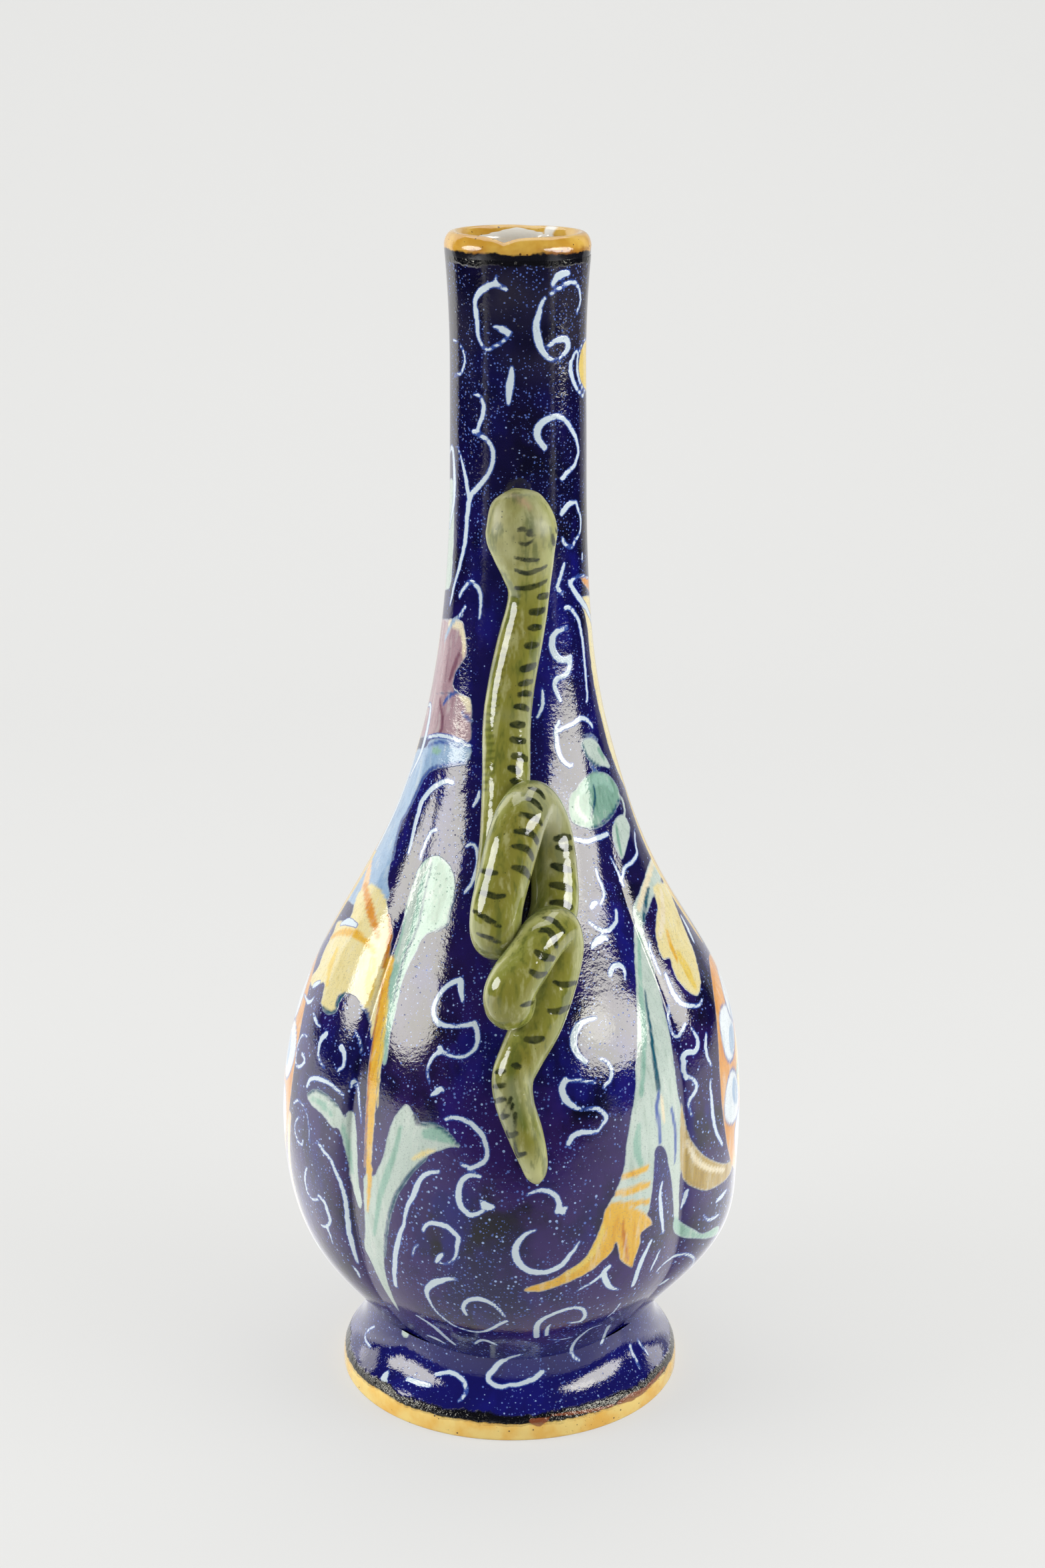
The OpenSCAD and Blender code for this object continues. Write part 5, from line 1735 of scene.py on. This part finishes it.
@dataclass
class Snakes:
    """The looped snake on the front of the vase and its twin on the back."""

    form: VaseForm
    drawing: Drawing
    length: float = 200
    radius: float = 7.2
    head: Point = (10.5, 8)
    step: float = 0.75
    sides: int = 64
    rib_gap: float = 11

    def track(self) -> Pair:
        """Return the middle line of the snake and its half width and half thickness along it."""
        route = HEAD_ROUTE + COIL_ROUTE
        rows = []
        for number, (across, down, lift, share) in enumerate(route):
            wide, thick = self.head if number < len(HEAD_ROUTE) else (self.radius, self.radius)
            x, z = across * self.length / 100, self.form.neck[1] - down * self.length / 100
            crown = float(self.form.radius(np.array(0.0), np.array(z)))
            rows.append((x, -math.sqrt(crown ** 2 - x * x) - lift * thick, z, wide * share, thick * share))
        line = through(np.array(rows), self.step)
        return line[:, :3], line[:, 3:]

    def sweep(self) -> tuple[Piece, Array]:
        """Sweep the snake's skin along its middle line.

        Returns:
            The piece and the share of its length at each vertex.
        """
        line, half = self.track()
        rows = len(line) - 1
        piece, column, row = sheet("snake_front", self.sides, rows)
        ahead = np.gradient(line, axis=0)
        ahead /= np.linalg.norm(ahead, axis=1)[:, None]
        wide = np.empty_like(line)
        beside = np.array([1.0, 0, 0])
        for number, way in enumerate(ahead):
            beside = beside - way * (beside @ way)
            beside /= np.linalg.norm(beside)
            wide[number] = beside
        out = np.cross(ahead, wide)
        turn = 2 * math.pi * (column % self.sides) / self.sides
        points = (line[row] + wide[row] * (half[row, 0] * np.cos(turn))[:, None]
                  + out[row] * (half[row, 1] * np.sin(turn))[:, None])
        place_vertices(piece, points)
        note(piece, "along", row / rows)
        close_up(piece)
        return piece, noted(piece, "along")

    def paint(self, piece: Piece, share: Array) -> None:
        """Paint the snake: pale head and tail, ochre back, painted sheen and green shade on the flanks, and
        dark dashes.
        """
        art = Artwork(coordinates(piece))
        crest = np.clip(-vertex_normals(piece)[:, 1], 0, 1)
        art.wash[:] = Paint.SNAKE.linear

        def tint(paint: Paint, cover: Array) -> None:
            """Lay a colour over the skin by a share at each vertex."""
            art.wash[:] = art.wash * (1 - cover[:, None]) + paint.linear * cover[:, None]

        tint(Paint.SNAKE_OCHRE, 0.45 * smooth((crest - 0.62) / 0.3))
        # Painted sheen: pale flanks where the skin turns away from the front
        tint(Paint.SNAKE_PALE, 0.55 * smooth((0.6 - crest) / 0.3))
        # Painted shade, partly pooled glaze: green where the skin turns towards the wall
        tint(Paint.SNAKE_GREEN, 0.6 * smooth((0.22 - crest) / 0.15))
        tint(Paint.SNAKE_PALE, 0.3 * smooth((0.12 - share) / 0.05))
        tint(Paint.SNAKE_PALE, 0.9 * smooth((share - 0.955) / 0.03))
        land = self.drawing.on_mesh(piece)
        # tints of the head and tail, among them a painted sheen and a painted highlight
        for paint, widths, points, soft in SNAKE_TINTS_AND_SHEEN:
            art.touch(paint, *self.drawing.line(widths, points, land), soft)
        for x, y in through(np.array(SNAKE_EDGE, float), self.rib_gap):
            rib = self.drawing.line((2, 5, 2), ((x, y), (x + 8, y), (x + 16, y - 2)), land)
            art.touch(Paint.SNAKE_RIB, *rib, 0.5)
        for widths, *points in SNAKE_MARKS:
            art.mark(*self.drawing.line(widths, tuple(points), land))
        art.store(piece)

    def build(self) -> list[Piece]:
        """Build, paint and dress the front snake and its twin."""
        piece, share = self.sweep()
        self.paint(piece, share)
        twin = piece.copy()
        twin.data = piece.data.copy()
        twin.name = twin.data.name = "snake_back"
        bpy.context.scene.collection.objects.link(twin)
        twin.data.transform(Matrix.Rotation(math.pi, 4, "Z"))
        glaze = SnakeGlaze().material()
        dress(piece, glaze, ["snake_front"])
        dress(twin, glaze, ["snake_back"])
        return [piece, twin]


@dataclass
class FloorSlab:
    """The floor of the vase, kept as packed, in milky glaze."""

    def dress(self) -> None:
        """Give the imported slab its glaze."""
        for piece in bpy.context.scene.objects:
            if piece.type == "MESH" and piece.name.split(".")[0] == "floor_slab":
                coat(piece, WhiteGlaze().material())


class Shape(Enum):
    """Outlines of the lights, as Blender names them."""

    OBLONG = "RECTANGLE"
    OVAL = "ELLIPSE"


@dataclass(frozen=True)
class Softbox:
    """One area light that looks at a point on the vase, rolled about its own axis."""

    name: str
    place: Triple
    size: Point
    power: float
    shape: Shape = Shape.OBLONG
    roll: float = 0
    mirrored: bool = True
    lit: bool = True
    aim: Triple = (0, 0, 0.17)
    only: str = ""

    def build(self) -> None:
        """Hang the light."""
        bpy.ops.object.light_add(type="AREA", location=self.place)
        light = bpy.context.object
        light.name = light.data.name = self.name
        light.data.shape = self.shape.value
        light.data.size, light.data.size_y = self.size
        light.data.energy = self.power
        look = (Vector(self.aim) - Vector(self.place)).to_track_quat("-Z", "Y").to_matrix()
        light.rotation_euler = (look @ Matrix.Rotation(math.radians(self.roll), 3, "Z")).to_euler()
        light.visible_glossy, light.visible_diffuse = self.mirrored, self.lit
        if self.only:
            shown = bpy.data.collections.new(self.name)
            shown.objects.link(bpy.data.objects[self.only])
            light.light_linking.receiver_collection = shown


@dataclass
class Studio:
    """White table with a raised back, soft lights and an even sky."""

    softboxes: tuple[Softbox, ...] = (
        Softbox("left_box", (-0.983, -0.184, 0.452), (0.72, 0.40), 3.7, Shape.OVAL, 15),
        Softbox("right_box", (0.906, -0.423, 0.431), (1.04, 0.382), 5.2, Shape.OVAL, -13),
        Softbox("right_near", (0.826, -0.539, 0.519), (0.42, 0.17), 0.30, Shape.OVAL, -13),
        Softbox("left_fill", (-0.985, -0.174, 0.60), (0.70, 0.70), 3.9, mirrored=False),
        Softbox("right_fill", (0.951, -0.309, 0.60), (0.70, 0.70), 2.5, mirrored=False),
        Softbox("top_box", (0.0, 0.45, 1.6), (1.6, 1.2), 10),
        Softbox("left_card", (-0.0945, 0.0227, 0.033), (0.05, 0.026), 0.0078, lit=False,
                aim=(-0.05, 0, 0.015), only="foot"),
        Softbox("right_card", (0.0945, 0.0340, 0.033), (0.08, 0.028), 0.0165, lit=False,
                aim=(0.05, 0, 0.015), only="foot"),
    )

    columns: int = 40
    rows: int = 120
    width: float = 6000
    depth: Point = (-2500, 800)
    bend_from: Point = (0.6, 0.85)
    bend_r: float = 1000
    back_h: float = 1400
    under: float = 0.05
    camera_share: float = 0.70
    paper: Colour = rgba(0.80, 0.80, 0.79)
    paper_shade: Colour = rgba(0.78, 0.78, 0.77)
    seen_near: Colour = rgba(0.79, 0.79, 0.775)
    seen_far: Colour = rgba(0.895, 0.895, 0.88)

    def mirrored(self, wires: Wiring, ahead: object, across: object) -> Socket:
        """Return how bright the table looks in reflections: dark in front, white beside and behind."""
        aside = wires.maths("ABSOLUTE", across)
        turned = wires.maths("ADD", ahead, wires.times(aside, 0.6))
        near = wires.span(turned, -0.42, 0.0, 0.02, 0.46)
        outer = wires.maths("SUBTRACT", aside, wires.times(ahead, 1.5))
        ends = wires.times(wires.span(aside, 0.9, 1.4), wires.span(outer, -0.3, 0.3))
        slant = wires.maths("DIVIDE", aside, wires.maths("ADD", wires.maths("MAXIMUM", ahead, 0), 0.02))
        white = wires.span(slant, 0.15, 0.9, 0.82, wires.span(aside, 0.13, 0.25, 1.6, 1.15))
        white = wires.times(white, wires.span(across, 0.6, 1.2, 1, 0.4))
        white = wires.times(white, wires.span(across, 0.1, 0.2, 1, 0.76))
        back = wires.times(wires.maths("SUBTRACT", 1, ends), white)
        rise = wires.times(wires.span(turned, -0.02, 0.16), wires.maths("SUBTRACT", back, near))
        return wires.maths("ADD", near, rise)

    def table(self) -> Piece:
        """Build the table that sweeps up behind the vase."""
        piece, column, row = sheet("table", self.columns, self.rows)
        share, (start, end) = row / self.rows, self.bend_from
        bend = np.clip((share - start) / (end - start), 0, 1) * math.pi / 2
        y = np.interp(share, (0, start), self.depth) + self.bend_r * np.sin(bend)
        z = self.bend_r * (1 - np.cos(bend)) + np.interp(share, (end, 1), (0, self.back_h)) - self.under
        place_vertices(piece, np.column_stack([(column / self.columns - 0.5) * self.width, y, z]))
        wires = Wiring("table_white")
        tone = wires.mix(wires.noise(8, 2), self.paper, self.paper_shade)
        path = wires.add("ShaderNodeLightPath")
        place = wires.add("ShaderNodeSeparateXYZ", {"Vector": wires.place})
        ahead, across = place.outputs["Y"], place.outputs["X"]
        glow = wires.add("ShaderNodeEmission", {"Strength": self.mirrored(wires, ahead, across)})
        paper = wires.add("ShaderNodeBsdfDiffuse", {"Color": tone})
        tint = wires.mix(wires.span(ahead, -0.4, 1.4), self.seen_near, self.seen_far)
        even = wires.add("ShaderNodeEmission", {"Color": tint, "Strength": 1.0})
        seen = wires.times(path.outputs["Is Camera Ray"], self.camera_share)
        both = wires.add("ShaderNodeMixShader", {0: seen, 1: paper.outputs[0], 2: even.outputs[0]})
        both = wires.add("ShaderNodeMixShader", {0: path.outputs["Is Glossy Ray"], 1: both.outputs[0],
                                                 2: glow.outputs[0]})
        wires.add("ShaderNodeOutputMaterial", {"Surface": both.outputs[0]})
        wires.material.cycles.emission_sampling = "NONE"
        coat(piece, wires.material)
        return piece

    def sky(self) -> None:
        """Set an even sky that is pale to the camera and dim in reflections."""
        world = bpy.data.worlds.new("studio")
        world.use_nodes = True
        tree = world.node_tree
        back = tree.nodes["Background"]
        path = tree.nodes.new("ShaderNodeLightPath")
        level = tree.nodes.new("ShaderNodeMapRange")
        level.inputs["To Min"].default_value = 0.36
        level.inputs["To Max"].default_value = 0.02
        tree.links.new(path.outputs["Is Glossy Ray"], level.inputs["Value"])
        seen = tree.nodes.new("ShaderNodeMath")
        seen.operation = "MULTIPLY_ADD"
        seen.inputs[1].default_value = 0.46
        tree.links.new(path.outputs["Is Camera Ray"], seen.inputs[0])
        tree.links.new(level.outputs["Result"], seen.inputs[2])
        tree.links.new(seen.outputs[0], back.inputs["Strength"])
        back.inputs["Color"].default_value = rgba(1, 1, 1)
        bpy.context.scene.world = world

    def build(self) -> None:
        """Set up the table, the sky and the lights."""
        table = self.table()
        self.sky()
        for box in self.softboxes:
            box.build()


def main() -> None:
    """Build the vase piece by piece, then the studio around it."""
    logging.basicConfig(level=logging.INFO, format="%(name)s: %(message)s")
    form, view = VaseForm(), Viewpoint()
    drawing = Drawing(form, view)
    for piece in Body(form, drawing).build():
        LOG.info("%s: %d faces", piece.name, len(piece.data.polygons))
    LOG.info("lip: %d faces", len(Lip(form).build().data.polygons))
    LOG.info("foot: %d faces", len(Foot(form, drawing).build().data.polygons))
    for piece in Snakes(form, drawing).build():
        LOG.info("%s: %d faces", piece.name, len(piece.data.polygons))
    FloorSlab().dress()
    LOG.info("floor slab dressed")
    Studio().build()
    view.camera()
    bpy.context.scene.view_settings.view_transform = "Standard"
    LOG.info("studio set")


if __name__ == "__main__":
    main()
